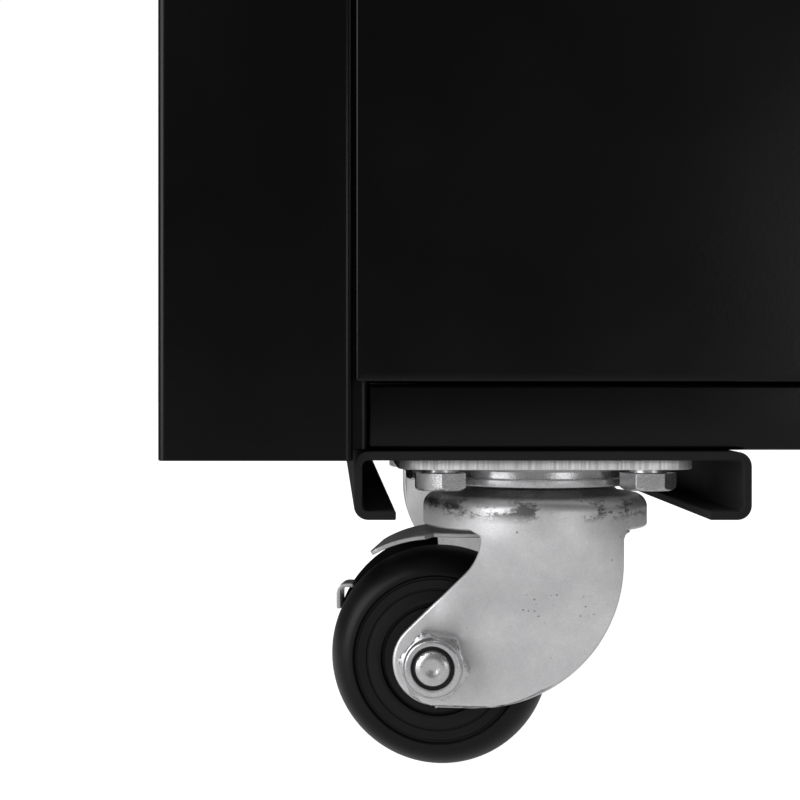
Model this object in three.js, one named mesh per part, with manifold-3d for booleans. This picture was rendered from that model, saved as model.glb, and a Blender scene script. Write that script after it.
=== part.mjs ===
// Rolling tool chest: a folded-steel roller cabinet with four drawers on side slides, a push
// handle on its left side, two braked swivel casters under the handle and two rigid casters.
// Millimetres, +Z up. Inside `chest`, x runs from the left side to the right, y from the front
// face to the back and z up from the floor. The outer group centres the whole over the origin.

import * as THREE from 'three';
import { mergeVertices } from 'three/addons/utils/BufferGeometryUtils.js';
import Module from 'manifold-3d';

const wasm = await Module();
wasm.setup();

// ---- Driving dimensions -------------------------------------------------------------------

const BODY_WIDTH = 673;
const BODY_DEPTH = 457;
const SHEET = 1.2;
const SHEET_BEND = 2.4;
const FIT_GAP = 0.3;
const SLIM_GAP = 0.6;
const NOTCH_GAP = 0.1;
const PAN_UPSTAND = 15;
const JOIN_DEPTH = 0.5;
const CUT_PAST = 1;
const WELD_DISTANCE = 1e-4;

const POST_WIDTH = 60.7;
const STOP_DEPTH = 9;
const STOP_WIDTH = 5.2;
const FRONT_RETURN = 40;
const REAR_RETURN = 62;

const TOP_PANEL_HEIGHT = 18;
const TOP_RIM = 12;
const TOP_RECESS = 5;
const TOP_CORNER = 3;
const MAT_THICKNESS = 3;
const MAT_MARGIN = 0.5;
const TOP_RAIL_HEIGHT = 34.8;

const BASE_RAIL_HEIGHT = 20.9;
const BASE_RAIL_FLANGE = 15;
const BASE_RAIL_BEND = 1.4;

const DRAWER_HEIGHTS = [268, 175, 125, 100];
const DRAWER_GAP = 3;
const DRAWER_FOOT_GAP = 0.8;
const DRAWER_SIDE_GAP = 0.9;
const DRAWER_FRONT_DEPTH = 8;
const DRAWER_SHEET = 1;
const DRAWER_BOX_FOOT = 8;
const DRAWER_BOX_HEAD = 16;
const DRAWER_BACK_SPACE = 46;

const PULL_REACH = 14;
const PULL_HEIGHT = 22;
const PULL_LIP = 8;
const PULL_WALL = 1.8;

const SLIDE_THICKNESS = 12.7;
const SLIDE_HEIGHT = 45;
const SLIDE_WALL = 1.4;
const SLIDE_BEND = 2.1;
const SLIDE_FRONT_SPACE = 14;
const SLIDE_LEAD = 1;
const SLIDE_BACK_SPACE = 30;
const SLIDE_RISE = 8;
const SLIDE_PLAY = 0.6;
const SLIDE_LIP_SPACE = 2.6;
const SLIDE_TAIL = 12;

const CHANNEL_WIDTH = 124.4;
const CHANNEL_HEIGHT = 21.3;
const CHANNEL_SHEET = 2.7;
const CHANNEL_FLANGE = 13.2;
const CHANNEL_BEND = 4.5;
const CHANNEL_END_SPACE = 3;
const CHANNEL_POST_GAP = 0.3;

const WHEEL_RADIUS = 37.2;
const WHEEL_WIDTH = 30;
const WHEEL_HUB_RADIUS = 27.3;
const WHEEL_HUB_RECESS = 1.6;
const TREAD_ROUND = 8.7;
const WHEEL_HUB_SLOPE = 1.2;
const HUB_BOSS_RADIUS = 11;
const HUB_BOSS_SLOPE = 1;
const HUB_PLAY = 0.5;
const CASTER_TRAIL = 32.2;
const PLATE_WIDTH = 95.5;
const PLATE_DEPTH = 75;
const PLATE_THICKNESS = 3.4;
const PLATE_CORNER = 9;
const PLATE_FRONT_SPACE = 15.5;
const BOLT_PITCH_X = 67.6;
const BOLT_PITCH_Y = 54;
const BOLT_RADIUS = 4;
const BOLT_HEX = 16;
const BOLT_HEAD = 5.6;
const BOLT_COLLAR_RADIUS = 6.2;
const BOLT_COLLAR = 1.4;
const BOLT_HOLE_GAP = 0.6;

const RACEWAY_RADIUS = 33;
const RACEWAY_DEPTH = 6.3;
const RACEWAY_STEP = 1.5;
const CROWN_RADIUS = 37.8;
const CROWN_HEIGHT = 10.9;
const CROWN_SHOULDER = 4.5;
const CROWN_TO_WHEEL = 7.7;
const RACE_RADIUS = 27;
const RACE_RISE = 2.4;
const RACE_INSET = 1.2;
const RACEWAY_GAP = 3.2;
const KINGPIN_RADIUS = 6;
const KINGPIN_HEAD_RADIUS = 11;
const KINGPIN_HEAD = 2.6;
const FORK_SHEET = 3;
const WHEEL_SIDE_GAP = 2;
const LEG_END_RADIUS = 14.4;
const LEG_BOTTOM = 15;
const LEG_FRONT = 30;
const LEG_FRONT_DROP = 10;
const LEG_ROOT = 16.8;
const LEG_ROOT_RADIUS = 19.5;
const LEG_BEND_HEIGHT = 17;
const LEG_INSET = 0.8;
const LEG_LAP = 3;
const LEG_ROW_GROWTH = 1.35;
const RIGID_LEG_TOP = 56;

const AXLE_RADIUS = 6;
const AXLE_CLEARANCE = 0.3;
const AXLE_PROUD = 1.1;
const AXLE_HEX = 20.6;
const AXLE_HEAD = 7.5;
const NUT_HEIGHT = 9;
const NUT_COLLAR = 2.6;
const NUT_COLLAR_RADIUS = 9.6;
const NUT_TURN = 10;

const BRAKE_GAP = 3.8;
const BRAKE_SHEET = 2;
const BRAKE_OVERHANG = 7.5;
const BRAKE_PIVOT_X = 10;
const BRAKE_PIVOT_DROP = 2.4;
const BRAKE_PIVOT_RADIUS = 3;
const BRAKE_PIN = 54;
const BRAKE_TONGUE = 30;
const BRAKE_TAB_WIDTH = 14;
const BRAKE_START = 0.07;
const BRAKE_END = 0.54;
const BRAKE_TAB_START = 1;
const BRAKE_TAB_END = 1.27;
const BRAKE_ARM_LAP = 0.05;
const BRAKE_ARM_DEPTH = 11;
const BRAKE_ARM_SINK = 1.7;

const SWIVEL_FRONT_TURN = -8;
const SWIVEL_REAR_TURN = 180;

const HANDLE_TUBE_RADIUS = 12.5;
const HANDLE_STANDOFF = 45;
const HANDLE_LENGTH = 250;
const HANDLE_BEND = 30;
const HANDLE_DROP = 90;
const HANDLE_FOOT_RADIUS = 21;
const HANDLE_FOOT = 3;
const HANDLE_SIDES = 12;
const HANDLE_STEPS = 18;

const LOCK_RADIUS = 9.5;
const LOCK_HOLE_GAP = 0.4;
const LOCK_PROUD = 3;
const LOCK_LENGTH = 20;
const LOCK_CAM = [16, 8, 3];
const KEY_SLOT = [2, 9];
const KEY_SLOT_END = 4;

// ---- Places that follow from them ---------------------------------------------------------

const axleHeight = WHEEL_RADIUS;
const crownFoot = 2 * WHEEL_RADIUS + CROWN_TO_WHEEL;
const crownTop = crownFoot + CROWN_HEIGHT;
const plateFoot = crownTop + RACEWAY_GAP + RACEWAY_DEPTH;
const plateTop = plateFoot + PLATE_THICKNESS;
const channelTop = plateTop + FIT_GAP + CHANNEL_SHEET;
const bodyFoot = plateTop + FIT_GAP;
const panFoot = channelTop + FIT_GAP;
const baseRailTop = panFoot + BASE_RAIL_HEIGHT;
const firstDrawerFoot = baseRailTop + DRAWER_FOOT_GAP;
const drawerSum = DRAWER_HEIGHTS.reduce((sum, height) => sum + height + DRAWER_GAP, 0);
const topRailFoot = firstDrawerFoot + drawerSum;
const topRailTop = topRailFoot + TOP_RAIL_HEIGHT;
const topPanelFoot = topRailTop + FIT_GAP;
const overallHeight = topPanelFoot + TOP_PANEL_HEIGHT;
const innerWall = POST_WIDTH + STOP_WIDTH;
const backPanelFront = BODY_DEPTH - SHEET;
const sideBack = backPanelFront - FIT_GAP;
const channelLeft = POST_WIDTH + CHANNEL_POST_GAP;
const casterX = channelLeft + CHANNEL_WIDTH / 2;
const casterY = PLATE_FRONT_SPACE + PLATE_DEPTH / 2;
const handleHeight = overallHeight - HANDLE_DROP;
const handleReach = HANDLE_STANDOFF + HANDLE_TUBE_RADIUS;
const lockHeight = (topRailFoot + topRailTop) / 2;
const brakePivotHeight = crownFoot - BRAKE_PIVOT_DROP;
const forkInner = WHEEL_WIDTH / 2 + WHEEL_SIDE_GAP;
const forkOuter = forkInner + FORK_SHEET;
const axleSeat = forkOuter + FIT_GAP;
const axleEnd = axleSeat + NUT_HEIGHT + NUT_COLLAR + AXLE_PROUD;

// ---- Materials ----------------------------------------------------------------------------

const FINISHES = {
  enamel: { color: 0x0f0f10, roughness: 0.28, metalness: 0 },
  zinc: { color: 0xc3c3c4, roughness: 0.35, metalness: 0.9 },
  steel: { color: 0xa9abae, roughness: 0.35, metalness: 1 },
  aluminium: { color: 0xb4b6b8, roughness: 0.4, metalness: 1 },
  rubber: { color: 0x1c1c1d, roughness: 0.65, metalness: 0 },
  chrome: { color: 0xd8dadc, roughness: 0.12, metalness: 1 },
};

// ---- Solids -------------------------------------------------------------------------------

// A closed geometry as a manifold solid, for joining and cutting.
function toSolid(geometry) {
  const bare = geometry.index ? geometry.clone() : geometry;
  bare.deleteAttribute('normal');
  bare.deleteAttribute('uv');
  const merged = mergeVertices(bare, WELD_DISTANCE);
  const vertProperties = new Float32Array(merged.attributes.position.array);
  const triVerts = new Uint32Array(merged.index.array);
  return new wasm.Manifold(new wasm.Mesh({ numProp: 3, vertProperties, triVerts }));
}

function toGeometry(solid) {
  const mesh = solid.getMesh();
  const geometry = new THREE.BufferGeometry();
  const positions = new Float32Array(mesh.vertProperties);
  geometry.setAttribute('position', new THREE.BufferAttribute(positions, 3));
  geometry.setIndex(new THREE.BufferAttribute(new Uint32Array(mesh.triVerts), 1));
  geometry.computeVertexNormals();
  return geometry;
}

function join(...pieces) {
  return toGeometry(pieces.map(toSolid).reduce((whole, piece) => whole.add(piece)));
}

function cut(body, ...tools) {
  return toGeometry(tools.map(toSolid).reduce((left, tool) => left.subtract(tool), toSolid(body)));
}

function box(low, high) {
  const size = high.map((value, i) => value - low[i]);
  const geometry = new THREE.BoxGeometry(...size);
  return geometry.translate(...low.map((value, i) => value + size[i] / 2));
}

// The three ways to extrude a flat outline: its two coordinates are the other two axes.
const EXTRUDE_BASES = {
  x: [[0, 1, 0], [0, 0, 1], [1, 0, 0]],
  y: [[1, 0, 0], [0, 0, 1], [0, -1, 0]],
  z: [[1, 0, 0], [0, 1, 0], [0, 0, 1]],
};

function prism(outline, axis, from, to, curveSegments = 3) {
  const isShape = outline instanceof THREE.Shape;
  const toPoint = ([a, b]) => new THREE.Vector2(a, b);
  const shape = isShape ? outline : new THREE.Shape(outline.map(toPoint));
  const options = { depth: to - from, bevelEnabled: false, curveSegments };
  const geometry = new THREE.ExtrudeGeometry(shape, options);
  const basis = EXTRUDE_BASES[axis].map((column) => new THREE.Vector3(...column));
  geometry.applyMatrix4(new THREE.Matrix4().makeBasis(...basis));
  const start = axis === 'y' ? to : from;
  const shift = { x: [start, 0, 0], y: [0, start, 0], z: [0, 0, start] }[axis];
  return geometry.translate(...shift);
}

// A cylinder along an axis, its other two centre coordinates given in x, y, z order.
function rod(axis, centre, radius, from, to, sides = 24) {
  const geometry = new THREE.CylinderGeometry(radius, radius, to - from, sides);
  const middle = (from + to) / 2;
  if (axis === 'x') return geometry.rotateZ(-Math.PI / 2).translate(middle, ...centre);
  if (axis === 'y') return geometry.translate(centre[0], middle, centre[1]);
  return geometry.rotateX(Math.PI / 2).translate(...centre, middle);
}

// A hexagonal prism measured across its flats.
function hexagon(axis, centre, acrossFlats, from, to) {
  return rod(axis, centre, acrossFlats / Math.sqrt(3), from, to, 6);
}

// A turned body about Z from a closed [radius, z] profile, listed from below, out and up.
function turned(profile, sides = 40) {
  const points = profile.map(([radius, z]) => new THREE.Vector2(radius, z));
  return new THREE.LatheGeometry(points, sides).rotateX(Math.PI / 2);
}

function roundedRectangle(x0, y0, x1, y1, radius) {
  const shape = new THREE.Shape();
  shape.moveTo(x0 + radius, y0);
  shape.lineTo(x1 - radius, y0);
  shape.absarc(x1 - radius, y0 + radius, radius, -Math.PI / 2, 0);
  shape.lineTo(x1, y1 - radius);
  shape.absarc(x1 - radius, y1 - radius, radius, 0, Math.PI / 2);
  shape.lineTo(x0 + radius, y1);
  shape.absarc(x0 + radius, y1 - radius, radius, Math.PI / 2, Math.PI);
  shape.lineTo(x0, y0 + radius);
  shape.absarc(x0 + radius, y0 + radius, radius, Math.PI, 1.5 * Math.PI);
  return shape;
}

// The cross-section of a sheet folded along a path: the path is the sheet's left-hand face,
// its thickness lies to the right, and each corner is a bend of the given outer radius.
function foldedSection(path, thickness, outerRadius, steps = 3) {
  const face = [];
  const inside = [];
  const points = path.map(([a, b]) => new THREE.Vector2(a, b));
  const last = points.length - 1;
  for (let i = 0; i <= last; i += 1) {
    const before = points[Math.max(i - 1, 0)];
    const after = points[Math.min(i + 1, last)];
    const inward = points[i].clone().sub(before).normalize();
    const onward = after.clone().sub(points[i]).normalize();
    if (i === 0 || i === last) {
      const along = i === 0 ? onward : inward;
      const right = new THREE.Vector2(along.y, -along.x).multiplyScalar(thickness);
      face.push(points[i].clone());
      inside.push(points[i].clone().add(right));
      continue;
    }
    const turn = Math.sign(inward.cross(onward));
    const faceRadius = turn < 0 ? outerRadius : outerRadius - thickness;
    const backRadius = turn < 0 ? outerRadius - thickness : outerRadius;
    const side = new THREE.Vector2(-inward.y, inward.x).multiplyScalar(turn);
    const centre = points[i].clone();
    centre.addScaledVector(inward, -faceRadius).addScaledVector(side, faceRadius);
    for (let step = 0; step <= steps; step += 1) {
      const angle = (turn * step * Math.PI) / (2 * steps);
      const arm = side.clone().negate().rotateAround(new THREE.Vector2(), angle);
      face.push(centre.clone().addScaledVector(arm, faceRadius));
      inside.push(centre.clone().addScaledVector(arm, backRadius));
    }
  }
  return new THREE.Shape([...face, ...inside.reverse()]);
}

const chest = new THREE.Group();

function addPiece(name, geometry, finish, parent = chest) {
  const mesh = new THREE.Mesh(geometry, new THREE.MeshStandardMaterial(FINISHES[finish]));
  mesh.name = name;
  parent.add(mesh);
  return mesh;
}

// ---- Cabinet body -------------------------------------------------------------------------

// The side, both corner posts and the drawer-stop flange are one folded sheet. The flange and
// the inner wall end above the caster channel, which passes under them.
function sidePanel() {
  const path = [
    [innerWall, FRONT_RETURN],
    [innerWall, STOP_DEPTH],
    [POST_WIDTH, STOP_DEPTH],
    [POST_WIDTH, 0],
    [0, 0],
    [0, sideBack],
    [innerWall, sideBack],
    [innerWall, sideBack - REAR_RETURN],
  ];
  const sheet = prism(foldedSection(path, SHEET, SHEET_BEND), 'z', bodyFoot, topRailTop);
  const notch = box(
    [POST_WIDTH + NOTCH_GAP, -CUT_PAST, bodyFoot - CUT_PAST],
    [innerWall + CUT_PAST, BODY_DEPTH, panFoot],
  );
  return cut(sheet, notch);
}

// A piece of the left half as its twin on the right half.
function mirrored(geometry) {
  const twin = (geometry.index ? geometry.toNonIndexed() : geometry.clone()).scale(-1, 1, 1);
  twin.translate(BODY_WIDTH, 0, 0);
  const { array } = twin.attributes.position;
  for (let i = 0; i < array.length; i += 9) {
    for (let axis = 0; axis < 3; axis += 1) {
      [array[i + 3 + axis], array[i + 6 + axis]] = [array[i + 6 + axis], array[i + 3 + axis]];
    }
  }
  twin.deleteAttribute('normal');
  twin.deleteAttribute('uv');
  const merged = mergeVertices(twin, WELD_DISTANCE);
  merged.computeVertexNormals();
  return merged;
}

// A U of folded sheet lying along x, open to the back: a front web with two flanges, starting
// `start` in from each side of the body.
function frontRail(face, flange, foot, top, start, bend) {
  const path = [[face + flange, foot], [face, foot], [face, top], [face + flange, top]];
  return prism(foldedSection(path, SHEET, bend), 'x', start, BODY_WIDTH - start);
}

// The body's outline drawn in by a margin, with the top's corner radius.
function topOutline(margin) {
  const right = BODY_WIDTH - margin;
  return roundedRectangle(margin, margin, right, BODY_DEPTH - margin, TOP_CORNER);
}

function topPanel() {
  const deck = overallHeight - TOP_RECESS;
  const outside = prism(topOutline(0), 'z', topPanelFoot, overallHeight);
  const hollow = prism(topOutline(SHEET), 'z', topPanelFoot - CUT_PAST, overallHeight - SHEET);
  const deckSheet = prism(topOutline(TOP_RIM - SHEET), 'z', deck - SHEET, overallHeight);
  const recess = prism(topOutline(TOP_RIM), 'z', deck, overallHeight + CUT_PAST);
  return cut(outside, cut(hollow, deckSheet), recess);
}

function topMat() {
  const foot = overallHeight - TOP_RECESS + FIT_GAP;
  return prism(topOutline(TOP_RIM + MAT_MARGIN), 'z', foot, foot + MAT_THICKNESS);
}

function bottomPan() {
  const back = backPanelFront - FIT_GAP;
  const front = STOP_DEPTH + BASE_RAIL_FLANGE + FIT_GAP;
  const path = [[back, panFoot + PAN_UPSTAND], [back, panFoot], [front, panFoot]];
  const section = foldedSection(path, SHEET, SHEET_BEND);
  return prism(section, 'x', innerWall + FIT_GAP, BODY_WIDTH - innerWall - FIT_GAP);
}

// The inverted channel that the left casters bolt up into, with clearance holes for their bolts.
function casterChannel() {
  const left = channelLeft;
  const right = channelLeft + CHANNEL_WIDTH;
  const foot = channelTop - CHANNEL_HEIGHT;
  const path = [
    [left + CHANNEL_FLANGE, foot],
    [left, foot],
    [left, channelTop],
    [right, channelTop],
    [right, foot],
    [right - CHANNEL_FLANGE, foot],
  ];
  const section = foldedSection(path, CHANNEL_SHEET, CHANNEL_BEND);
  const channel = prism(section, 'y', CHANNEL_END_SPACE, BODY_DEPTH - CHANNEL_END_SPACE);
  const holes = [casterY, BODY_DEPTH - casterY].flatMap((y) => boltPlaces().map(([dx, dy]) => (
    rod('z', [casterX + dx, y + dy], BOLT_RADIUS + BOLT_HOLE_GAP, plateTop, channelTop + CUT_PAST, 8)
  )));
  return cut(channel, ...holes);
}

// The push handle: a tube bent back to the side at both ends, on round feet.
function sideHandle() {
  const out = -HANDLE_STANDOFF;
  const start = -FIT_GAP - HANDLE_FOOT / 2;
  const near = (BODY_DEPTH - HANDLE_LENGTH) / 2;
  const far = near + HANDLE_LENGTH;
  const at = (x, y) => new THREE.Vector3(x, y, handleHeight);
  const nearBend = [at(out + HANDLE_BEND, near), at(out, near), at(out, near + HANDLE_BEND)];
  const farBend = [at(out, far - HANDLE_BEND), at(out, far), at(out + HANDLE_BEND, far)];
  const route = new THREE.CurvePath();
  route.add(new THREE.LineCurve3(at(start, near), nearBend[0]));
  route.add(new THREE.QuadraticBezierCurve3(...nearBend));
  route.add(new THREE.LineCurve3(nearBend[2], farBend[0]));
  route.add(new THREE.QuadraticBezierCurve3(...farBend));
  route.add(new THREE.LineCurve3(farBend[2], at(start, far)));
  const ring = Array.from({ length: HANDLE_SIDES }, (_, i) => {
    const angle = (2 * Math.PI * i) / HANDLE_SIDES;
    return new THREE.Vector2(HANDLE_TUBE_RADIUS, 0).rotateAround(new THREE.Vector2(), angle);
  });
  const options = { steps: HANDLE_STEPS, extrudePath: route, bevelEnabled: false };
  const tube = new THREE.ExtrudeGeometry(new THREE.Shape(ring), options);
  const feet = [near, far].map((y) => (
    rod('x', [y, handleHeight], HANDLE_FOOT_RADIUS, -FIT_GAP - HANDLE_FOOT, -FIT_GAP, 20)
  ));
  return join(tube, ...feet);
}

// The barrel turns in the top rail; its cam swings down behind the rail.
function lockBarrel() {
  const x = BODY_WIDTH / 2;
  const z = lockHeight;
  const [slotWidth, slotHeight] = KEY_SLOT;
  const [camReach, camHeight, camThickness] = LOCK_CAM;
  const barrel = rod('y', [x, z], LOCK_RADIUS, -LOCK_PROUD, LOCK_LENGTH, 20);
  const slot = box(
    [x - slotWidth / 2, -LOCK_PROUD - CUT_PAST, z - slotHeight / 2],
    [x + slotWidth / 2, KEY_SLOT_END, z + slotHeight / 2],
  );
  const cam = box(
    [x, LOCK_LENGTH - camThickness, z - camHeight / 2],
    [x + camReach, LOCK_LENGTH, z + camHeight / 2],
  );
  return join(cut(barrel, slot), cam);
}

const left = sidePanel();
addPiece('side_panel_left', left, 'enamel');
addPiece('side_panel_right', mirrored(left), 'enamel');
const backPanel = box([0, backPanelFront, bodyFoot], [BODY_WIDTH, BODY_DEPTH, topRailTop]);
addPiece('back_panel', backPanel, 'enamel');
addPiece('bottom_pan', bottomPan(), 'enamel');
addPiece('top_panel', topPanel(), 'enamel');
addPiece('top_mat', topMat(), 'rubber');
const topRailFlange = STOP_DEPTH - SLIM_GAP;
const topRailStart = POST_WIDTH + FIT_GAP;
const topRail = frontRail(
  0, topRailFlange, topRailFoot, topRailTop, topRailStart, SHEET_BEND,
);
const lockHoleRadius = LOCK_RADIUS + LOCK_HOLE_GAP;
const lockHole = rod(
  'y', [BODY_WIDTH / 2, lockHeight], lockHoleRadius, -CUT_PAST, SHEET + CUT_PAST, 20,
);
addPiece('top_rail', cut(topRail, lockHole), 'enamel');
const baseStart = innerWall + FIT_GAP;
const baseRail = frontRail(
  STOP_DEPTH, BASE_RAIL_FLANGE, panFoot, baseRailTop, baseStart, BASE_RAIL_BEND,
);
addPiece('base_rail', baseRail, 'enamel');
const channel = casterChannel();
addPiece('caster_channel_left', channel, 'enamel');
addPiece('caster_channel_right', mirrored(channel), 'enamel');
addPiece('side_handle', sideHandle(), 'chrome');
addPiece('lock_barrel', lockBarrel(), 'chrome');

// ---- Drawers ------------------------------------------------------------------------------

// A channel member of a slide along y, its web at `web` and its lips reaching `lip` to the
// right (positive) or to the left (negative).
function slideMember(web, lip, middle, height, front, back) {
  const foot = middle - height / 2;
  const top = middle + height / 2;
  const path = [[web + lip, foot], [web, foot], [web, top], [web + lip, top]];
  const ordered = lip > 0 ? path : path.reverse();
  return prism(foldedSection(ordered, SLIDE_WALL, SLIDE_BEND, 2), 'y', front, back);
}

function addDrawer(number, foot, height) {
  const top = foot + height;
  const faceLeft = POST_WIDTH + DRAWER_SIDE_GAP;
  const faceRight = BODY_WIDTH - faceLeft;
  const boxLeft = innerWall + 2 * FIT_GAP + SLIDE_THICKNESS;
  const boxFront = FIT_GAP + DRAWER_FRONT_DEPTH + FIT_GAP;
  const boxBack = BODY_DEPTH - DRAWER_BACK_SPACE;
  const boxFoot = foot + DRAWER_BOX_FOOT;
  const boxTop = top - DRAWER_BOX_HEAD;
  const name = (piece) => `drawer_${number}_${piece}`;

  const front = cut(
    box([faceLeft, FIT_GAP, foot], [faceRight, FIT_GAP + DRAWER_FRONT_DEPTH, top]),
    box(
      [faceLeft + DRAWER_SHEET, FIT_GAP + DRAWER_SHEET, foot + DRAWER_SHEET],
      [faceRight - DRAWER_SHEET, FIT_GAP + DRAWER_FRONT_DEPTH + CUT_PAST, top - DRAWER_SHEET],
    ),
  );
  addPiece(name('front'), front, 'enamel');

  const tray = cut(
    box([boxLeft, boxFront, boxFoot], [BODY_WIDTH - boxLeft, boxBack, boxTop]),
    box(
      [boxLeft + DRAWER_SHEET, boxFront + DRAWER_SHEET, boxFoot + DRAWER_SHEET],
      [BODY_WIDTH - boxLeft - DRAWER_SHEET, boxBack - DRAWER_SHEET, boxTop + CUT_PAST],
    ),
  );
  addPiece(name('box'), tray, 'enamel');

  const pull = [
    [0, top],
    [-PULL_REACH, top],
    [-PULL_REACH, top - PULL_LIP],
    [-PULL_REACH + PULL_WALL, top - PULL_LIP],
    [-PULL_REACH + PULL_WALL, top - PULL_WALL],
    [-PULL_WALL, top - PULL_WALL],
    [-PULL_WALL, top - PULL_HEIGHT],
    [0, top - PULL_HEIGHT],
  ];
  addPiece(name('pull'), prism(pull, 'x', faceLeft, faceRight), 'aluminium');

  const middle = boxFoot + SLIDE_RISE + SLIDE_HEIGHT / 2;
  const cabinetWeb = innerWall + FIT_GAP;
  const drawerWeb = cabinetWeb + SLIDE_THICKNESS;
  const innerHeight = SLIDE_HEIGHT - 2 * (SLIDE_WALL + SLIDE_PLAY);
  const slideBack = BODY_DEPTH - SLIDE_BACK_SPACE;
  const lip = SLIDE_THICKNESS - SLIDE_LIP_SPACE;
  const innerFront = SLIDE_FRONT_SPACE - SLIDE_LEAD;
  const innerBack = boxBack - SLIDE_TAIL;
  const outer = slideMember(cabinetWeb, lip, middle, SLIDE_HEIGHT, SLIDE_FRONT_SPACE, slideBack);
  const inner = slideMember(drawerWeb, -lip, middle, innerHeight, innerFront, innerBack);
  addPiece(name('cabinet_slide_left'), outer, 'steel');
  addPiece(name('cabinet_slide_right'), mirrored(outer), 'steel');
  addPiece(name('drawer_slide_left'), inner, 'steel');
  addPiece(name('drawer_slide_right'), mirrored(inner), 'steel');
}

// Drawer 1 is the lowest and deepest.
let drawerFoot = firstDrawerFoot;
DRAWER_HEIGHTS.forEach((height, i) => {
  addDrawer(i + 1, drawerFoot, height);
  drawerFoot += height + DRAWER_GAP;
});

// ---- Casters ------------------------------------------------------------------------------
// Each caster has its own frame: origin on the floor under the middle of its plate. A swivel
// caster's wheel trails towards -x there, and every axle lies along y.

function boltPlaces() {
  return [[-1, -1, 0], [1, -1, 26], [-1, 1, 12], [1, 1, 40]].map(([sx, sy, turn]) => (
    [sx * BOLT_PITCH_X / 2, sy * BOLT_PITCH_Y / 2, turn]
  ));
}

// A mounting plate with its four bolts: hexagon heads with round collars below the plate,
// shanks up through the channel.
function boltedPlate() {
  const outline = roundedRectangle(
    -PLATE_WIDTH / 2, -PLATE_DEPTH / 2, PLATE_WIDTH / 2, PLATE_DEPTH / 2, PLATE_CORNER,
  );
  const plate = prism(outline, 'z', plateFoot, plateTop);
  const headTop = plateFoot - BOLT_COLLAR;
  const shankFoot = plateFoot + JOIN_DEPTH;
  const head = hexagon('z', [0, 0], BOLT_HEX, headTop - BOLT_HEAD, headTop);
  const bolts = boltPlaces().flatMap(([x, y, turn]) => [
    head.clone().rotateZ(THREE.MathUtils.degToRad(turn)).translate(x, y, 0),
    rod('z', [x, y], BOLT_COLLAR_RADIUS, headTop - JOIN_DEPTH, shankFoot, 10),
    rod('z', [x, y], BOLT_RADIUS, shankFoot, channelTop, 8),
  ]);
  return join(plate, ...bolts);
}

// The plate of a swivel caster carries the raceway cup and the kingpin with its head.
function swivelPlate() {
  const ringFoot = plateFoot - RACEWAY_DEPTH;
  const headTop = crownTop + RACE_RISE - FORK_SHEET - FIT_GAP;
  const swivel = turned([
    [0, headTop - KINGPIN_HEAD],
    [KINGPIN_HEAD_RADIUS, headTop - KINGPIN_HEAD],
    [KINGPIN_HEAD_RADIUS, headTop],
    [KINGPIN_RADIUS, headTop],
    [KINGPIN_RADIUS, ringFoot],
    [RACEWAY_RADIUS, ringFoot],
    [RACEWAY_RADIUS, ringFoot + RACEWAY_DEPTH / 2],
    [RACEWAY_RADIUS - RACEWAY_STEP, ringFoot + RACEWAY_DEPTH / 2],
    [RACEWAY_RADIUS - RACEWAY_STEP, plateFoot + JOIN_DEPTH],
    [0, plateFoot + JOIN_DEPTH],
  ], 24);
  return join(boltedPlate(), swivel);
}

// The fork's crown: a pressed cup, its top raised into the ball race.
function crown() {
  const bore = KINGPIN_RADIUS + AXLE_CLEARANCE;
  const raceTop = crownTop + RACE_RISE;
  const hollow = CROWN_SHOULDER - FORK_SHEET;
  const centre = [CROWN_RADIUS - CROWN_SHOULDER, crownTop - CROWN_SHOULDER];
  const outer = [];
  const inner = [];
  for (let step = 0; step <= 3; step += 1) {
    const angle = (step * Math.PI) / 6;
    const arm = [Math.sin(angle), Math.cos(angle)];
    outer.push([centre[0] + CROWN_SHOULDER * arm[0], centre[1] + CROWN_SHOULDER * arm[1]]);
    inner.unshift([centre[0] + hollow * arm[0], centre[1] + hollow * arm[1]]);
  }
  const outline = [
    [bore, raceTop],
    [RACE_RADIUS, raceTop],
    [RACE_RADIUS + RACE_RISE, crownTop],
    ...outer,
    [CROWN_RADIUS, crownFoot],
    [CROWN_RADIUS - FORK_SHEET, crownFoot],
    ...inner,
    [RACE_RADIUS + RACE_RISE - RACE_INSET, crownTop - FORK_SHEET],
    [RACE_RADIUS - RACE_INSET, raceTop - FORK_SHEET],
    [bore, raceTop - FORK_SHEET],
    [bore, raceTop],
  ];
  return turned(outline.reverse(), 24);
}

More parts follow.
